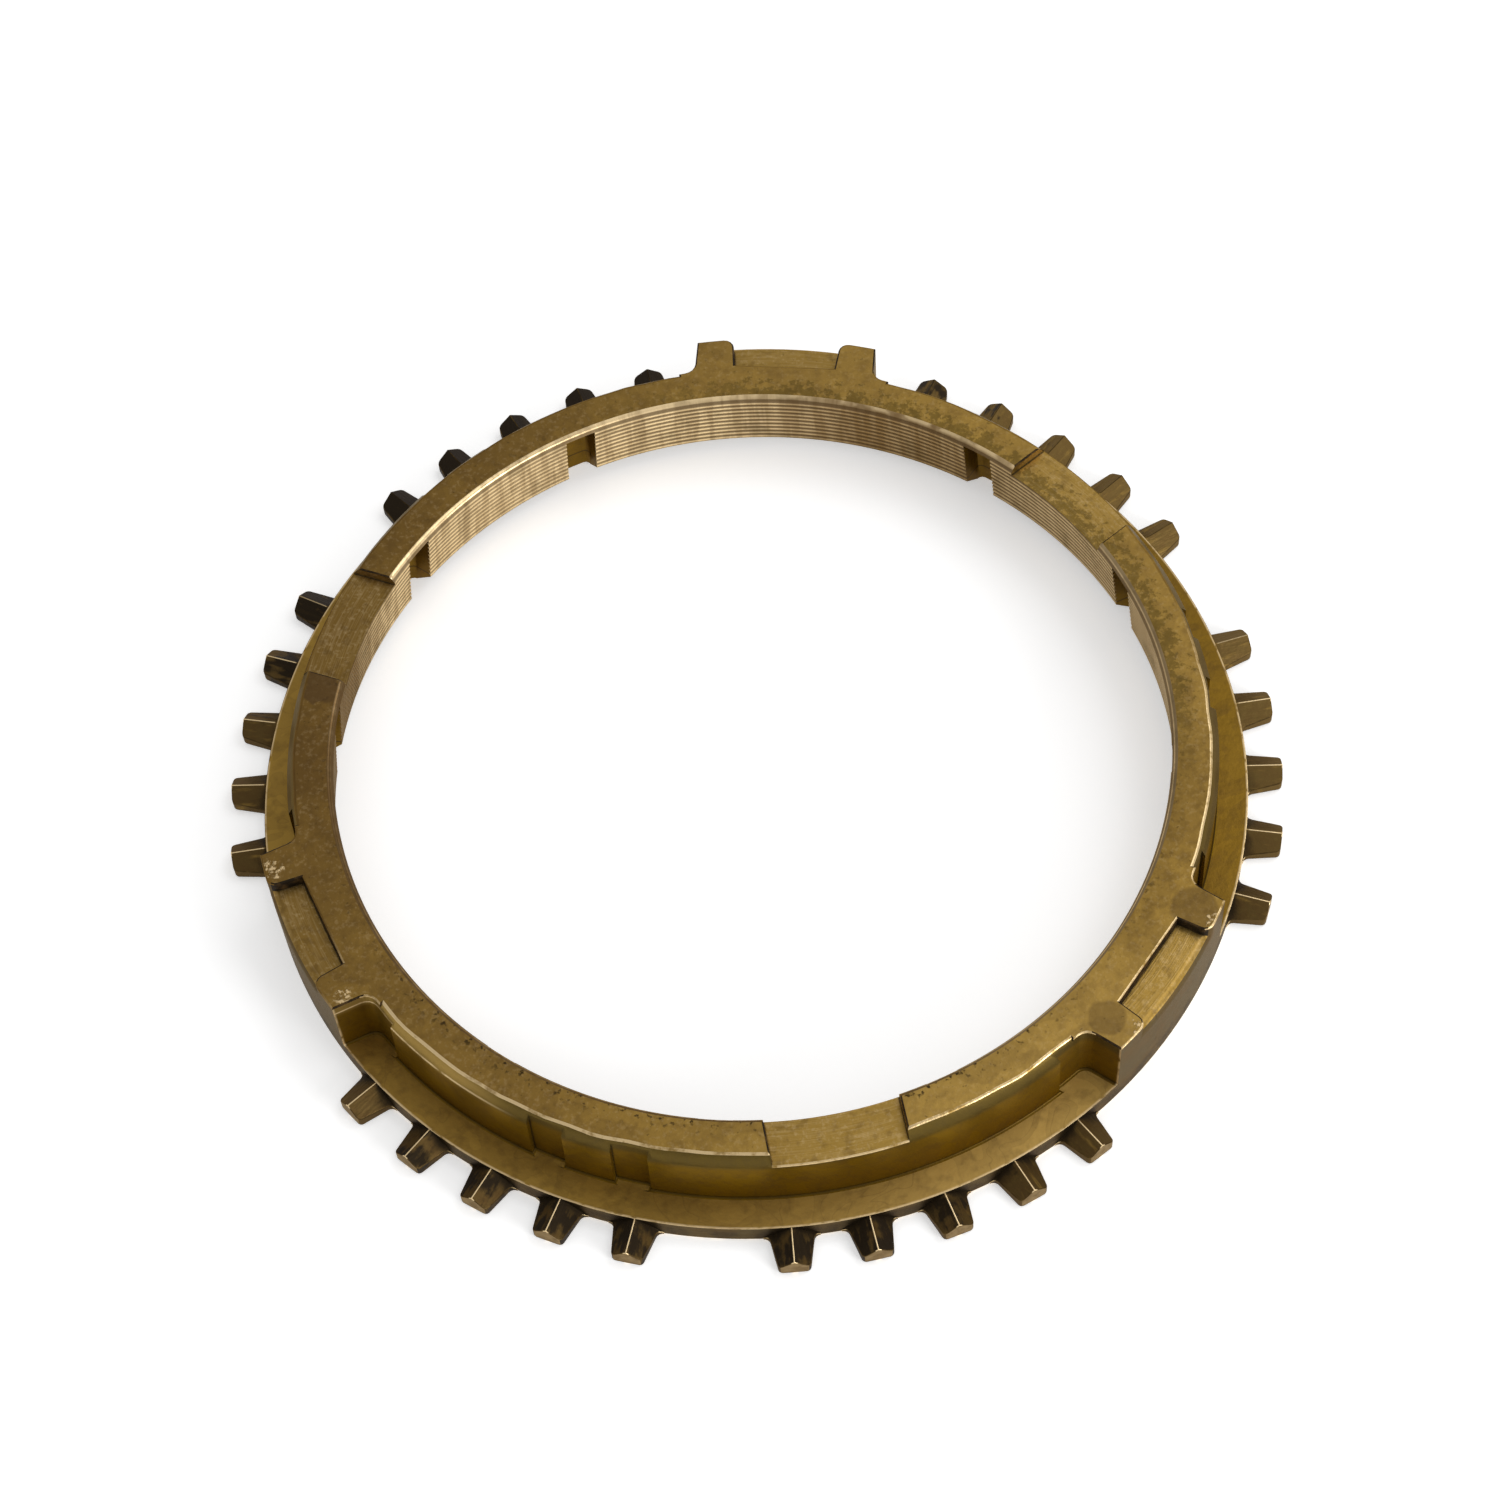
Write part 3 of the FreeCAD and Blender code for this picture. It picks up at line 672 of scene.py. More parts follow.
def teeth():
    """The teeth of one sector, each a copy of the first with its own mesh."""
    size = ring_sizes()
    first = tooth()
    copies = []
    for k in range(size.group_teeth):
        for side in (-1, 1):
            pitches = side * (size.first_tooth + k)
            copies.append(lay_flat(duplicate(first), pitches * 2 * math.pi / size.tooth_count))
    bpy.data.objects.remove(first)
    return joined(copies, "teeth")


def sector():
    """The angle from one lug to the next."""
    return 2 * math.pi / ring_sizes().lug_count


def sector_ends(spare=0):
    """Where the sector starts and ends, as angles from its lug."""
    start = ring_sizes().sector_start
    return start - spare, start + sector() + spare


def toothed_bar(start, end):
    """A bar of the lug's section with the teeth on it, its gear side turned flat."""
    piece = bar("ring", lug_section(), start * bend_radius(), end * bend_radius())
    add_slots(piece)
    use_boolean(piece, teeth(), "UNION")
    edit(piece)
    bpy.ops.mesh.bisect(plane_co=(0, 0, 0), plane_no=(0, 0, 1), threshold=TINY * MM,
                        clear_inner=True, use_fill=True)
    leave_edit()
    for face in piece.data.polygons:
        if face.center.z < TINY:
            face.material_index = slot_of("gear_side")
    return tidy(piece)


def model_sector():
    """One lug with its half of the wall to each side, still flat and a little too long."""
    size = ring_sizes()
    start, end = sector_ends(size.spare)
    piece = toothed_bar(start, end)
    use_boolean(piece, joined([wall_cutter(-1, start), wall_cutter(1, end)], "walls"), "DIFFERENCE")
    tools = [ledge_cutter(), slot_cutter(), relief_cutter(-1), relief_cutter(1)]
    for side in (-1, 1):
        tools.append(recess_cutter(side * size.recess_spread / 2 - size.recess_angle))
    for k in range(size.groove_count):
        turn = sector() / 2 + (k - (size.groove_count - 1) / 2) * size.groove_step
        tools.append(groove_cutter(turn if turn < end else turn - sector()))
    use_boolean(piece, joined(tools, "cutters"), "DIFFERENCE")
    return give_zones(tidy(piece))


def break_edges(piece):
    """Rounds the lug and every edge that wear has broken."""
    size = ring_sizes()
    flat = bend_radius()
    shelf = size.flange_thickness
    half_lug = math.asin(size.lug_width / 2 / size.flange_radius) * flat
    ends = [turn * flat for turn in sector_ends(size.spare)]

    outside = whole(lambda place: at(place.y, size.flange_radius))
    by_lug = whole(lambda place: abs(place.x) < half_lug + TINY and place.z > shelf - TINY)
    on_shelf = whole(lambda place: at(place.z, shelf))
    on_top_face = whole(lambda place: at(place.z, size.height))
    at_foot = whole(lambda place: place.z < TINY)

    def at_end(edge):
        return any(all(at(vertex.co.x, end) for vertex in edge.verts) for end in ends)

    def on_lug_outside(edge):
        return outside(edge) and by_lug(edge) and not on_shelf(edge) and is_sharp(edge)

    def on_top(edge):
        low = min(vertex.co.z for vertex in edge.verts)
        if not is_sharp(edge, STEEP) or at_end(edge) or low < size.height - size.ledge_depth - TINY:
            return False
        if any(abs(face.normal.x) > MOSTLY for face in edge.link_faces):
            return on_top_face(edge)
        return edge.verts[0].co.y > cone_at(low) + size.thread_depth + TINY

    def on_shelf_edge(edge):
        return is_sharp(edge) and on_shelf(edge) and outside(edge)

    def on_gear_side(edge):
        return is_sharp(edge) and not at_end(edge) and at_foot(edge)

    # Slot of the edge finish: wear with a painted highlight
    worn = slot_of("worn_and_lit_edge")
    soften(piece, on_lug_outside, size.lug_edge, segments=4)
    soften(piece, on_top, size.edge_break, segments=2, material=worn)
    # Bevel faces across the rim above the shelf take the painted shade of the step sides
    for face in piece.data.polygons:
        across = abs(face.normal.x) > SLIGHT > abs(face.normal.y)
        if face.material_index == worn and across and face.center.z > shelf + TINY:
            face.material_index = slot_of("painted_shade_step")
    almost_to_ridges = size.tooth_drop * 0.9
    soften(piece, on_shelf_edge, almost_to_ridges, segments=2, material=worn)
    soften(piece, on_gear_side, size.gear_break, segments=3, material=worn)
    return piece


def close_ring(piece):
    """Adds the columns, bends the sector and joins its copies to a ring."""
    size = ring_sizes()
    columns = round(sector() / size.column)
    start, end = (turn * bend_radius() for turn in sector_ends())
    slice_across(piece, [start + k * (end - start) / columns for k in range(1, columns)])
    edit(piece)
    for cut, aside in ((start, -1), (end, 1)):
        select_all()
        bpy.ops.mesh.bisect(plane_co=(cut, 0, 0), plane_no=(aside, 0, 0), threshold=TINY * MM,
                            clear_outer=True)
    leave_edit()
    bend_round(piece)
    sectors = [piece]
    for k in range(1, size.lug_count):
        copy = duplicate(piece)
        copy.data.transform(Matrix.Rotation(k * sector(), 4, "Z"))
        sectors.append(copy)
    ring = joined(sectors, "brass_ring")
    edit(ring, "EDGE")
    bpy.ops.mesh.remove_doubles(threshold=TINY)
    select_all("DESELECT")
    bpy.ops.mesh.select_non_manifold()
    bpy.ops.mesh.remove_doubles(threshold=SEAM_GAP)
    select_all()
    bpy.ops.mesh.delete_loose(use_verts=True, use_edges=True)
    face_outwards()
    leave_edit()
    return ring


def wander(piece):
    """Lets the outer top edge of the wall run a little in and out, as wear has left it."""
    size = ring_sizes()
    half_lug = math.asin(size.lug_width / 2 / size.wall_radius)
    inner = size.wall_radius - size.rim_width - size.relief_depth
    fade_in = 30
    inward = 0.3
    for vertex in piece.data.vertices:
        radius = vertex.co.xy.length
        turn = math.atan2(vertex.co.x, vertex.co.y) % sector()
        from_lug = min(turn, sector() - turn) - half_lug
        if inner < radius < size.wall_radius and vertex.co.z > size.height - size.rim_drop / 2:
            swing = noise.noise(vertex.co / size.rim_wave) * min(1, max(0, from_lug * fade_in))
            vertex.co.xy *= 1 + (swing - inward) * size.rim_swing / radius
    return piece


def shade(piece):
    only(piece)
    bpy.ops.object.shade_smooth_by_angle(angle=SMOOTH)
    modifier = piece.modifiers.new("even_normals", "WEIGHTED_NORMAL")
    modifier.keep_sharp = True
    bpy.ops.object.modifier_apply(modifier=modifier.name)


# Shader maths: a socket works as a number does in a Python expression


def maths(operation, swapped=False):
    """An operator or method of a socket that adds one Math node."""
    def work(self, other=0.0):
        first, second = (other, self) if swapped else (self, other)
        return self.finish.node("ShaderNodeMath", {"operation": operation}, {0: first, 1: second})

    return work


class Socket:
    """An output of a node, in millimetres where it is a length."""

    def __init__(self, finish, link):
        self.finish = finish
        self.link = link

    def beside(self, output):
        """Another output of the same node."""
        return Socket(self.finish, self.link.node.outputs[output])

    __add__ = __radd__ = maths("ADD")
    __sub__ = maths("SUBTRACT")
    __rsub__ = maths("SUBTRACT", swapped=True)
    __mul__ = maths("MULTIPLY")
    __truediv__ = maths("DIVIDE")
    __pow__ = maths("POWER")
    __abs__ = maths("ABSOLUTE")
    part = maths("FRACT")              # what is left above the whole number
    over = maths("MAXIMUM")            # the larger of the two
    turned_from = maths("ARCTAN2")     # the angle whose tangent is this over the other

    def ramp(self, low, high):
        """A smooth step from 0 at low to 1 at high, which may be the smaller."""
        return self.finish.node("ShaderNodeMapRange", {"interpolation_type": "SMOOTHSTEP"},
                                {"Value": self, "From Min": low, "From Max": high})


class Finish:
    """A material with its shader, and the place on the ring in millimetres."""

    def __init__(self, name):
        self.material = bpy.data.materials.new(name)
        self.material.use_nodes = True
        self.shader = self.material.node_tree.nodes["Principled BSDF"]
        object_place = self.node("ShaderNodeTexCoord", output="Object")
        self.place = self.node("ShaderNodeVectorMath", {"operation": "SCALE"},
                               {0: object_place, "Scale": 1 / MM})
        self.x = self.node("ShaderNodeSeparateXYZ", inputs={0: self.place}, output="X")
        self.y = self.x.beside("Y")
        self.z = self.x.beside("Z")
        self.radius = (self.x * self.x + self.y * self.y) ** 0.5
        self.tone = None

    def node(self, kind, settings=None, inputs=None, output=0):
        """Adds a node, sets it, fills its sockets with values or links, gives an output."""
        made = self.material.node_tree.nodes.new(kind)
        for name, value in (settings or {}).items():
            setattr(made, name, value)
        for key, value in (inputs or {}).items():
            self.fill(made.inputs[key], value)
        return Socket(self, made.outputs[output])

    def fill(self, socket, value):
        if isinstance(value, Socket):
            self.material.node_tree.links.new(value.link, socket)
        else:
            socket.default_value = value

    def mix(self, share, first, second):
        """The first colour with a share of the second over it."""
        return self.node("ShaderNodeMix", {"data_type": "RGBA"},
                         {0: share, 6: first, 7: second}, output=2)

    def start(self, share, first, second):
        """Begins the tone with one of the ring's colours and a share of another."""
        self.tone = self.mix(share, shade_of(first), shade_of(second))

    def lay(self, name, share):
        """Lays a share of one of the ring's colours over the tone."""
        self.tone = self.mix(share, self.tone, shade_of(name))

    def cloud(self, vector, detail, roughness=0.55, distortion=0.0):
        return self.node("ShaderNodeTexNoise", {"noise_dimensions": "3D"},
                         {"Vector": vector, "Scale": 1.0, "Detail": detail,
                          "Roughness": roughness, "Distortion": distortion})

    def grain(self, size, seed, detail=3.0, roughness=0.55, distortion=0.0):
        """Noise with features of one size, in millimetres."""
        vector = self.node("ShaderNodeVectorMath", {"operation": "MULTIPLY_ADD"},
                           {0: self.place, 1: [1 / size] * 3, 2: [seed, -seed, seed / 2]})
        return self.cloud(vector, detail, roughness, distortion)

    def drift(self, size, seed, swing):
        """Noise that swings round zero."""
        return (self.grain(size, seed) - 0.5) * swing

    def patches(self, size, seed, low, high, detail=3.0):
        """1 in patches of one size, where the noise is past high, and 0 between them."""
        return self.grain(size, seed, detail).ramp(low, high)

    def around(self, run, height, detail):
        """Noise with one size round the ring, where it has no seam, and a height of its own."""
        turns = in_mm("flange_radius") / run
        vector = self.node("ShaderNodeCombineXYZ", inputs={
            0: self.x / self.radius * turns, 1: self.y / self.radius * turns, 2: height})
        return self.cloud(vector, detail)

    def streaks(self, across, along, seed, detail=3.0):
        """Noise drawn out along the radius and the axis."""
        return self.around(across, (self.radius + self.z) / along + seed, detail)

    def turning(self, pitch, seed, run=9.0):
        """Fine turned lines round the ring, on flat, sloping and upright faces."""
        return self.around(run, (self.radius + self.z * LINE_SLOPE) / pitch + seed, 2.0)

    def spot(self, along, across, reach, ragged, seed=0.0):
        """A round stain with a ragged edge."""
        away = ((self.x - along) ** 2.0 + (self.y - across) ** 2.0) ** 0.5
        return (away + self.drift(1.4, seed, ragged) * 2).ramp(reach, reach * 0.8)

    def spots(self, marks):
        """1 on any of some round stains."""
        covered = self.spot(*marks[0])
        for mark in marks[1:]:
            covered = covered.over(self.spot(*mark))
        return covered

    def shade_in_hollows(self, reach, seed, ragged, low, high):
        """1 deep in a corner and 0 on open metal, with a ragged edge between."""
        open_part = self.node("ShaderNodeAmbientOcclusion", {"samples": 8, "only_local": True},
                              {"Distance": reach * MM}, "AO")
        return (1 - open_part + self.drift(0.8, seed, ragged)).ramp(low, high)

    def corner_shade_line(self):
        """1 on the thin line of dried oil that runs along every hollow corner."""
        return self.shade_in_hollows(0.35, 6, 0.2, 0.22, 0.42)

    def finish(self, roughness, metallic, height=None):
        """Gives the shader its tone, shine and relief, whose height is in millimetres."""
        self.fill(self.shader.inputs["Base Color"], self.tone)
        self.fill(self.shader.inputs["Roughness"], roughness)
        self.fill(self.shader.inputs["Metallic"], metallic)
        if height:
            relief = self.node("ShaderNodeBump", inputs={"Distance": MM, "Height": height})
            self.fill(self.shader.inputs["Normal"], relief)

    def dull(self):
        """Takes back the white shine of flat angles, as a film of old oil does."""
        self.fill(self.shader.inputs["Specular IOR Level"], 0.3)
        self.fill(self.shader.inputs["Specular Tint"], shade_of("film"))


def shade_of(name):
    """One of the ring's colours, as a socket takes it."""
    return (*getattr(bpy.context.scene.ring_colours, name), 1)


# The finishes. Places are in millimetres, and shares run from 0 to 1


def side_tone(made):
    """0 where the brass has browned, on the left, to 1 where it has stayed golden."""
    return (made.x.ramp(-30, 32) * 0.75 + made.y.ramp(-2, -34) * 0.4
            + made.y.ramp(8, 34) * 0.28 + made.drift(9, 4, 0.5))


def painted_light_share(made):
    """1 in the light to the right of the near side."""
    return made.y.ramp(-12, -26) * made.x.ramp(-10, 24)


def upper_left(made):
    """1 on the far left, where the teeth are black."""
    return (made.y * 0.85 - made.x * 0.5).ramp(16, 40)


def lay_patina(made):
    """Greenish brown patches over the far right, thickest at the inner edge."""
    where = (made.x + made.y).ramp(8, 40) * made.y.ramp(-4, 8)
    inner = made.radius.ramp(37.6, 35.2)
    patches = (made.grain(0.7, 13, detail=5, roughness=0.7) + inner * 0.2).ramp(0.6, 0.7)
    made.lay("sand_and_light", where * 0.12)
    made.lay("patina", where * patches * 0.5)


def forged_top(made):
    """The top face: mottled, with tide marks, stains, specks, pits and bruises."""
    made.start(side_tone(made) * 0.85 + 0.16, "brown", "golden")
    mottle = made.grain(1.3, 7, detail=5, roughness=0.65)
    made.lay("stain_and_shade", mottle.ramp(0.42, 0.68) * 0.36)
    made.lay("bare_and_highlight", made.patches(0.35, 31, 0.5, 0.7, detail=4) * 0.09)
    # Painted light on the near right of the top face
    made.lay("sand_and_light", painted_light_share(made) * 0.3)
    field = made.grain(6, 11, detail=2, distortion=0.6)
    tide = abs(field - 0.5).ramp(0.02, 0.0)
    made.lay("stain_and_shade", field.ramp(0.5, 0.52) * 0.16 + tide * 0.14)
    stains = made.spots(STAINS)
    made.lay("stain_and_shade", stains * (0.45 + made.x.ramp(0, -10) * 0.35))
    specks = made.patches(0.5, 17, 0.56, 0.66, detail=4) * made.radius.ramp(36.6, 34.9)
    made.lay("grime_and_shade", specks * (0.35 + made.y.ramp(-20, -26) * 0.55))
    made.lay("grime_and_shade", made.patches(0.32, 3, 0.67, 0.75) * 0.45)
    chips = made.patches(0.45, 23, 0.48, 0.6, detail=5) * made.spots(BRUISES)
    made.lay("bare_and_highlight", chips * 0.65)
    lay_patina(made)
    height = made.grain(0.5, 5, detail=4) * 0.03 + mottle * 0.05 + chips * 0.05
    made.finish(0.42 + mottle * 0.2 + stains * 0.1, 0.72 - stains * 0.3, height)


def milled_floor(made):
    """The floors of the slots and ledges: fine cutter lines, dark along their sides."""
    made.start(side_tone(made) * 0.7 + 0.3, "brown", "golden")
    lines = made.turning(0.12, 3, run=4)
    made.lay("bare_and_highlight", lines.ramp(0.4, 0.75) * 0.12)
    made.lay("bare_and_highlight", made.patches(0.35, 31, 0.5, 0.7, detail=4) * 0.14)
    made.lay("stain_and_shade", made.patches(0.9, 6, 0.5, 0.7, detail=4) * 0.35)
    lay_patina(made)
    # Painted shade and grime along the sides of the floor
    shade_and_dirt = made.corner_shade_line()
    made.lay("grime_and_shade", shade_and_dirt * 0.9)
    made.finish(0.38 + shade_and_dirt * 0.3, 0.78 - shade_and_dirt * 0.5, lines * 0.02 + made.grain(0.4, 5) * 0.02)


def painted_shade_step(made):
    """The low upright sides of the slots and ledges, dark with old grime."""
    made.start(made.patches(0.7, 8, 0.4, 0.7, detail=4) * 0.7, "grime_and_shade", "stain_and_shade")
    made.finish(0.6, 0.3, made.grain(0.4, 2) * 0.03)


def oiled(made, oil, shade_and_dirt_share, light):
    """Brass under dried oil: tide marks, darker corners, a soft gloss."""
    band_foot = in_mm("height") - in_mm("rim_drop")
    rim = in_mm("flange_radius")
    field = made.grain(5, 19, detail=2, distortion=0.8)
    # Painted light: the near side turns golden as far as light is given
    near = (made.x * 0.9 + made.y).ramp(24, -16) * light
    made.start(near + made.drift(7, 5, 0.4), oil, "golden")
    # Painted light on the near right
    lit = painted_light_share(made) * light
    made.lay("sand_and_light", lit * 0.95)
    made.lay("stain_and_shade", made.patches(1.1, 2, 0.45, 0.7, detail=5) * 0.3)
    tide = abs(field - 0.46).ramp(0.014, 0.0).over(abs(field - 0.56).ramp(0.01, 0.0))
    made.lay("stain_and_shade", field.ramp(0.46, 0.475) * 0.14 + tide * 0.2)
    # Painted shade and grime in the corners
    shade_and_dirt = made.shade_in_hollows(1.3, 2, 0.25, 0.3, 0.75)
    made.lay("grime_and_shade", shade_and_dirt * shade_and_dirt_share)
    # Painted shade and dried oil along hollow corners and the foot of the wall
    line = made.corner_shade_line()
    above = made.z - in_mm("flange_thickness")
    foot = above.ramp(0.01, 0.03) * above.ramp(0.26, 0.16)
    made.lay("grime_and_shade", (line * 0.75).over(foot * 0.65))
    band = made.z.ramp(band_foot - 0.7, band_foot + 0.2)
    made.lay("band", band * 0.7)
    near_left = made.x.ramp(-15, -21) * made.y.ramp(-8, -18)
    made.lay("sand_and_light", band * near_left * 0.45)
    burr = abs(made.z - band_foot).ramp(0.13, 0.05) * made.patches(1.2, 4, 0.3, 0.5)
    made.lay("bare_and_highlight", burr * near_left * 0.8)
    # Bright line along the outer edge of the shelf: wear and a painted highlight
    painted_highlight = made.radius.ramp(rim - 0.22, rim - 0.06) * made.patches(1.1, 22, 0.3, 0.5)
    made.lay("bare_and_highlight", painted_highlight * 0.7)
    shade_and_dirt = shade_and_dirt.over(line)
    height = made.grain(0.6, 9, detail=4) * 0.03 + field * 0.04
    made.finish(0.4 + shade_and_dirt * 0.15, 0.75 - shade_and_dirt * 0.2 - lit * 0.55, height)


def oiled_shelf(made):
    # Painted light at 0.8 on the shelf
    oiled(made, "shelf", 0.12, 0.8)


def oiled_wall(made):
    oiled(made, "pocket", 0.15, 0.0)


def axial_groove(made):
    # Strong painted shade and grime in the axial grooves
    oiled(made, "pocket", 0.5, 0.1)


def turned_outside(made):
    """The outside of the flange and the lugs: grey tan, with grime between the teeth."""
    lines = made.turning(0.11, 2)
    made.start(made.patches(3, 8, 0.35, 0.7, detail=4) * 0.5, "tan", "brown")
    made.lay("stain_and_shade", lines.ramp(0.45, 0.8) * 0.4)
    made.lay("grime_and_shade", made.patches(0.5, 14, 0.6, 0.72, detail=4) * 0.35)
    # Darker in patches towards the gear side, with painted shade and grime in the hollows between
    # the teeth
    low = made.z.ramp(2.2, 1.2) * made.patches(2, 3, 0.35, 0.6)
    made.lay("grime_and_shade", (low * 0.55).over(made.shade_in_hollows(2.4, 7, 0.3, 0.08, 0.3) * 0.9))
    made.finish(0.46, 0.6, lines * 0.025 + made.grain(0.5, 5) * 0.02)


def machined_thread(made):
    """The friction thread: bright lands where it has rubbed, dirt in its grooves."""
    pitch = in_mm("thread_pitch")
    foot = in_mm("entry_height")
    top = in_mm("height")
    first = top - in_mm("thread_first")
    from_line = abs(((first - made.z) / pitch + 0.5).part() - 0.5) * pitch
    on_cone = made.z.ramp(foot, foot + 0.3)
    line = from_line.ramp(0.24, 0.1) * on_cone * made.z.ramp(first + 0.3, first + 0.15)
    cut = made.streaks(0.9, 9, 6)
    # Painted highlight on the far left of the bore, where the thread reflects the light
    painted_highlight = (made.y * 0.6 - made.x * 0.8).ramp(14, 28) * made.y.ramp(4, 14)
    made.start(cut.ramp(0.35, 0.7) * 0.2, "cut", "bare_and_highlight")
    made.lay("bare_and_highlight", painted_highlight * (0.6 + cut.ramp(0.4, 0.6) * 0.4))
    # Painted light on the right of the bore
    made.lay("bare_and_highlight", made.x.ramp(12, 26) * 0.5)
    # Painted highlight along the top of the far thread
    top_highlight = made.z.ramp(top - 0.3, top - 0.1) * made.y.ramp(2, 14)
    made.lay("bare_and_highlight", top_highlight * made.patches(2, 8, 0.4, 0.55) * 0.6)
    # Painted shade on the first land at the near side and the right
    shaded = made.y.ramp(6, -6).over(made.x.ramp(22, 31))
    land = made.z.ramp(first + 0.2, first + 0.3)
    made.lay("stain_and_shade", land * shaded * 0.7)
    # Darker on the left of the bore, short of the far side
    made.lay("stain_and_shade", made.x.ramp(-26, -33) * made.y.ramp(14, 4) * 0.45)
    made.lay("tan", made.patches(2.6, 3, 0.5, 0.7) * 0.35)
    # Darker along the grooves
    made.lay("stain_and_shade", line * 0.8)
    made.finish(0.3 + line * 0.2, 0.88 - line * 0.3, cut * 0.015)


def tooth_grime_and_shade(made):
    """The flanks of the teeth: scored, and black where grime has stayed."""
    scores = made.streaks(0.45, 3.2, 2, detail=4)
    near = made.y.ramp(-24, -42) * abs(made.x + 4).ramp(34, 18)
    amount = upper_left(made) * 0.62 + near * 0.36 + 0.12
    flakes = made.grain(1.6, 12, detail=4) * 0.6 + scores * 0.55
    black = (flakes + amount * 0.62).ramp(0.76, 0.9)
    made.start(made.patches(0.7, 5, 0.35, 0.7, detail=4) * 0.55, "tooth", "stain_and_shade")
    made.lay("golden", scores.ramp(0.55, 0.72) * 0.4)
    made.lay("sand_and_light", (made.x + made.y).ramp(20, 50) * 0.1)
    # Painted shade at the roots of the teeth on the near side
    root = made.shade_in_hollows(1.8, 7, 0.3, 0.1, 0.34)
    black = black.over(root * made.y.ramp(10, -10) * 0.95)
    made.lay("grime_and_shade", black * 0.94)
    height = scores * 0.06 + made.grain(0.4, 3) * 0.02
    made.finish(0.44 + black * 0.12, 0.66 - black * 0.3, height)


def tooth_tip(made):
    made.start(made.patches(0.8, 6, 0.35, 0.65, detail=4) * 0.5, "tip", "stain_and_shade")
    made.lay("stain_and_shade", abs(made.z - 1).ramp(0.55, 1.05) * 0.5)
    made.finish(0.42, 0.68, made.turning(0.09, 0) * 0.02)


def gear_side(made):
    """The flat face that the ring rests on, as turned."""
    lines = made.turning(0.14, 9)
    made.start(side_tone(made) * 0.5 + 0.2, "brown", "golden")
    made.lay("bare_and_highlight", lines.ramp(0.45, 0.75) * 0.4)
    made.lay("stain_and_shade", made.patches(3, 2, 0.5, 0.7, detail=4) * 0.45)
    grime_and_shade = made.radius.ramp(40.2, 43.5) * made.patches(1.2, 5, 0.4, 0.6, detail=4)
    made.lay("grime_and_shade", grime_and_shade * 0.8)
    made.finish(0.42 + grime_and_shade * 0.2, 0.75 - grime_and_shade * 0.4, lines * 0.03)


def worn_and_lit_edge(made):
    """Broken edges: rubbed bright where the ring is handled, and along the tooth ridges."""
    rim = in_mm("flange_radius")
    rub = made.grain(0.8, 4, detail=4) * 0.7 + made.grain(5, 9) * 0.5
    # Wear and painted highlight on the near side and the right
    rubbed_and_lit = made.y.ramp(-6, -18) * made.x.ramp(-33, -28)
    rubbed_and_lit = rubbed_and_lit.over(made.x.ramp(14, 30) * made.y.ramp(16, 2))
    bright = rub.ramp(0.4, 0.62) * rubbed_and_lit
    made.start(side_tone(made) * 0.6 + 0.1, "brown", "golden")
    made.lay("stain_and_shade", rub.ramp(0.7, 0.5) * (1 - rubbed_and_lit) * 0.4)
    made.lay("bare_and_highlight", bright * 0.68)
    count = ring_sizes().tooth_count
    pitch = 2 * math.pi / count
    turn = made.x.turned_from(made.y) / pitch
    from_ridge = abs((turn + 0.5 + count).part() - 0.5) * (pitch * in_mm("tip_radius"))
    on_tooth = made.radius.ramp(rim + 0.1, rim + 0.25)
    ridge = from_ridge.ramp(0.3, 0.15) * made.y.ramp(24, 6)
    black = made.grain(1, 3).ramp(0.7, 0.4) * (upper_left(made) * 0.4 + 0.6)
    made.lay("tooth", on_tooth)
    made.lay("grime_and_shade", on_tooth * black * 0.85)
    # Painted highlight and wear along the tooth ridges
    made.lay("bare_and_highlight", on_tooth * ridge * 0.9)
    made.finish(0.42 - bright * 0.12, 0.8, made.grain(0.4, 3, detail=4) * 0.04)


FINISHES = {made.__name__: made for made in (
    forged_top, milled_floor, painted_shade_step, oiled_shelf, oiled_wall, axial_groove, turned_outside,
    machined_thread, tooth_grime_and_shade, tooth_tip, gear_side, worn_and_lit_edge)}


class RING_OT_make(bpy.types.Operator):
    """Model the brass ring around its frame"""

    bl_idname = "ring.make"
    bl_label = "Make the Ring"

    def execute(self, context):
        for name, paint in FINISHES.items():
            made = Finish(name)
            made.dull()
            paint(made)
        ring = wander(close_ring(break_edges(model_sector())))
        shade(ring)
        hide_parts(NODE)
        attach(ring, "root")
        return {"FINISHED"}


def hang(name, data, where, view, roll=0):
    """Puts a lamp or a camera at a place, facing along a view."""
    hung = bpy.data.objects.new(name, data)
    hung.location = where
    hung.rotation_mode = "QUATERNION"
    hung.rotation_quaternion = view.to_track_quat("-Z", "Y") @ Quaternion((0, 0, 1), roll)
    bpy.context.scene.collection.objects.link(hung)
    return hung


def lamp(name, where, size, power):
    """A soft square lamp that faces the ring."""
    light = bpy.data.lights.new(name, "AREA")
    light.energy = power
    light.size = size
    hang(name, light, where, -Vector(where))


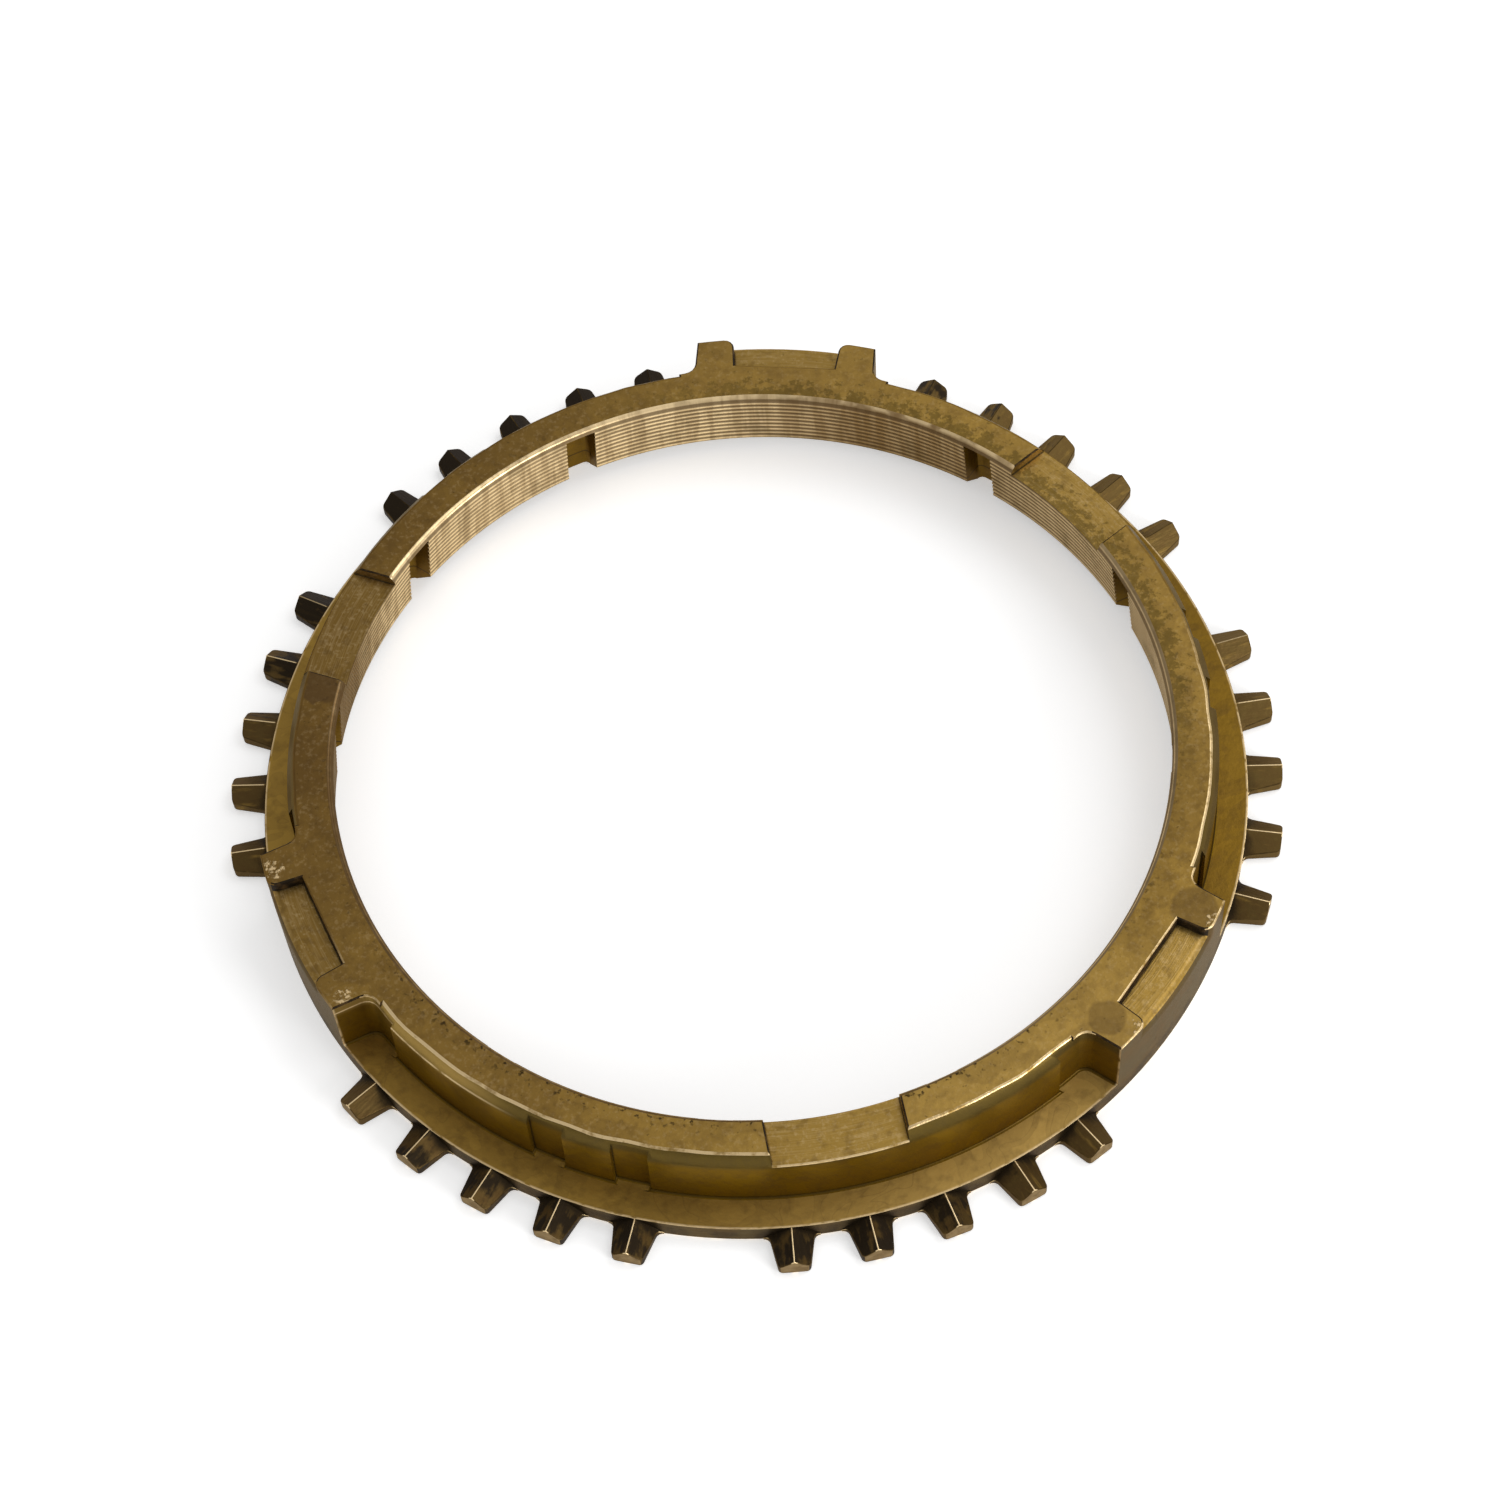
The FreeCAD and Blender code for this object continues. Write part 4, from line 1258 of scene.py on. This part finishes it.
class RING_OT_stage(bpy.types.Operator):
    """Set the floor, the lights and the camera"""

    bl_idname = "ring.stage"
    bl_label = "Set the Stage"

    def execute(self, context):
        stage = context.scene.ring_stage
        bpy.ops.object.select_all(action="DESELECT")
        bpy.ops.mesh.primitive_plane_add(size=stage.floor_width)
        floor = named("floor")
        pale = Finish("pale_floor")
        camera_ray = pale.node("ShaderNodeLightPath", output="Is Camera Ray")
        seen = (camera_ray + camera_ray.beside("Is Glossy Ray")
                + camera_ray.beside("Is Transmission Ray"))
        pale.fill(pale.shader.inputs["Emission Color"], pale.mix(seen, BLACK, WHITE))
        pale.fill(pale.shader.inputs["Emission Strength"], stage.floor_glow)
        pale.tone = (*stage.floor, 1)
        pale.finish(roughness=0.9, metallic=0)
        floor.data.materials.append(pale.material)
        world = bpy.data.worlds.new("studio")
        world.use_nodes = True
        background = world.node_tree.nodes["Background"]
        background.inputs["Color"].default_value = WHITE
        background.inputs["Strength"].default_value = stage.sky
        context.scene.world = world
        lamp("key_lamp", stage.key_place, stage.key_size, stage.key_power)
        lamp("side_lamp", stage.side_place, stage.side_size, stage.side_power)

        camera = bpy.data.cameras.new("camera")
        camera.lens = stage.lens
        camera.sensor_width = SENSOR
        camera.shift_x = stage.shift_right
        camera.shift_y = stage.shift_up
        camera.clip_start = 10 * MM
        level = math.cos(stage.elevation)
        away = Vector((math.sin(stage.azimuth) * level, -math.cos(stage.azimuth) * level,
                       math.sin(stage.elevation)))
        where = Vector((0, 0, stage.aim)) + away * stage.distance
        context.scene.camera = hang("camera", camera, where, -away, stage.roll)
        context.scene.view_settings.view_transform = "Standard"
        return {"FINISHED"}


GROUPS = {"ring_sizes": RingSizes, "ring_colours": RingColours, "ring_stage": RingStage}


class RING_PT_panel(bpy.types.Panel):
    """The ring's buttons, sizes and colours"""

    bl_idname = "RING_PT_panel"
    bl_label = "Synchronizer Ring"
    bl_space_type = "VIEW_3D"
    bl_region_type = "UI"
    bl_category = "Ring"

    def draw(self, context):
        for button in (RING_OT_make, RING_OT_stage):
            self.layout.operator(button.bl_idname)
        for name, group in GROUPS.items():
            column = self.layout.column(heading=group.__doc__)
            for entry in group.__annotations__:
                column.prop(getattr(context.scene, name), entry)


CLASSES = (*GROUPS.values(), RING_OT_make, RING_OT_stage, RING_PT_panel)


def register():
    for item in CLASSES:
        bpy.utils.register_class(item)
    for name, group in GROUPS.items():
        setattr(bpy.types.Scene, name, bpy.props.PointerProperty(type=group))


def unregister():
    for name in GROUPS:
        delattr(bpy.types.Scene, name)
    for item in reversed(CLASSES):
        bpy.utils.unregister_class(item)


def main():
    register()
    bpy.ops.ring.make()
    bpy.ops.ring.stage()


if __name__ == "__main__":
    main()
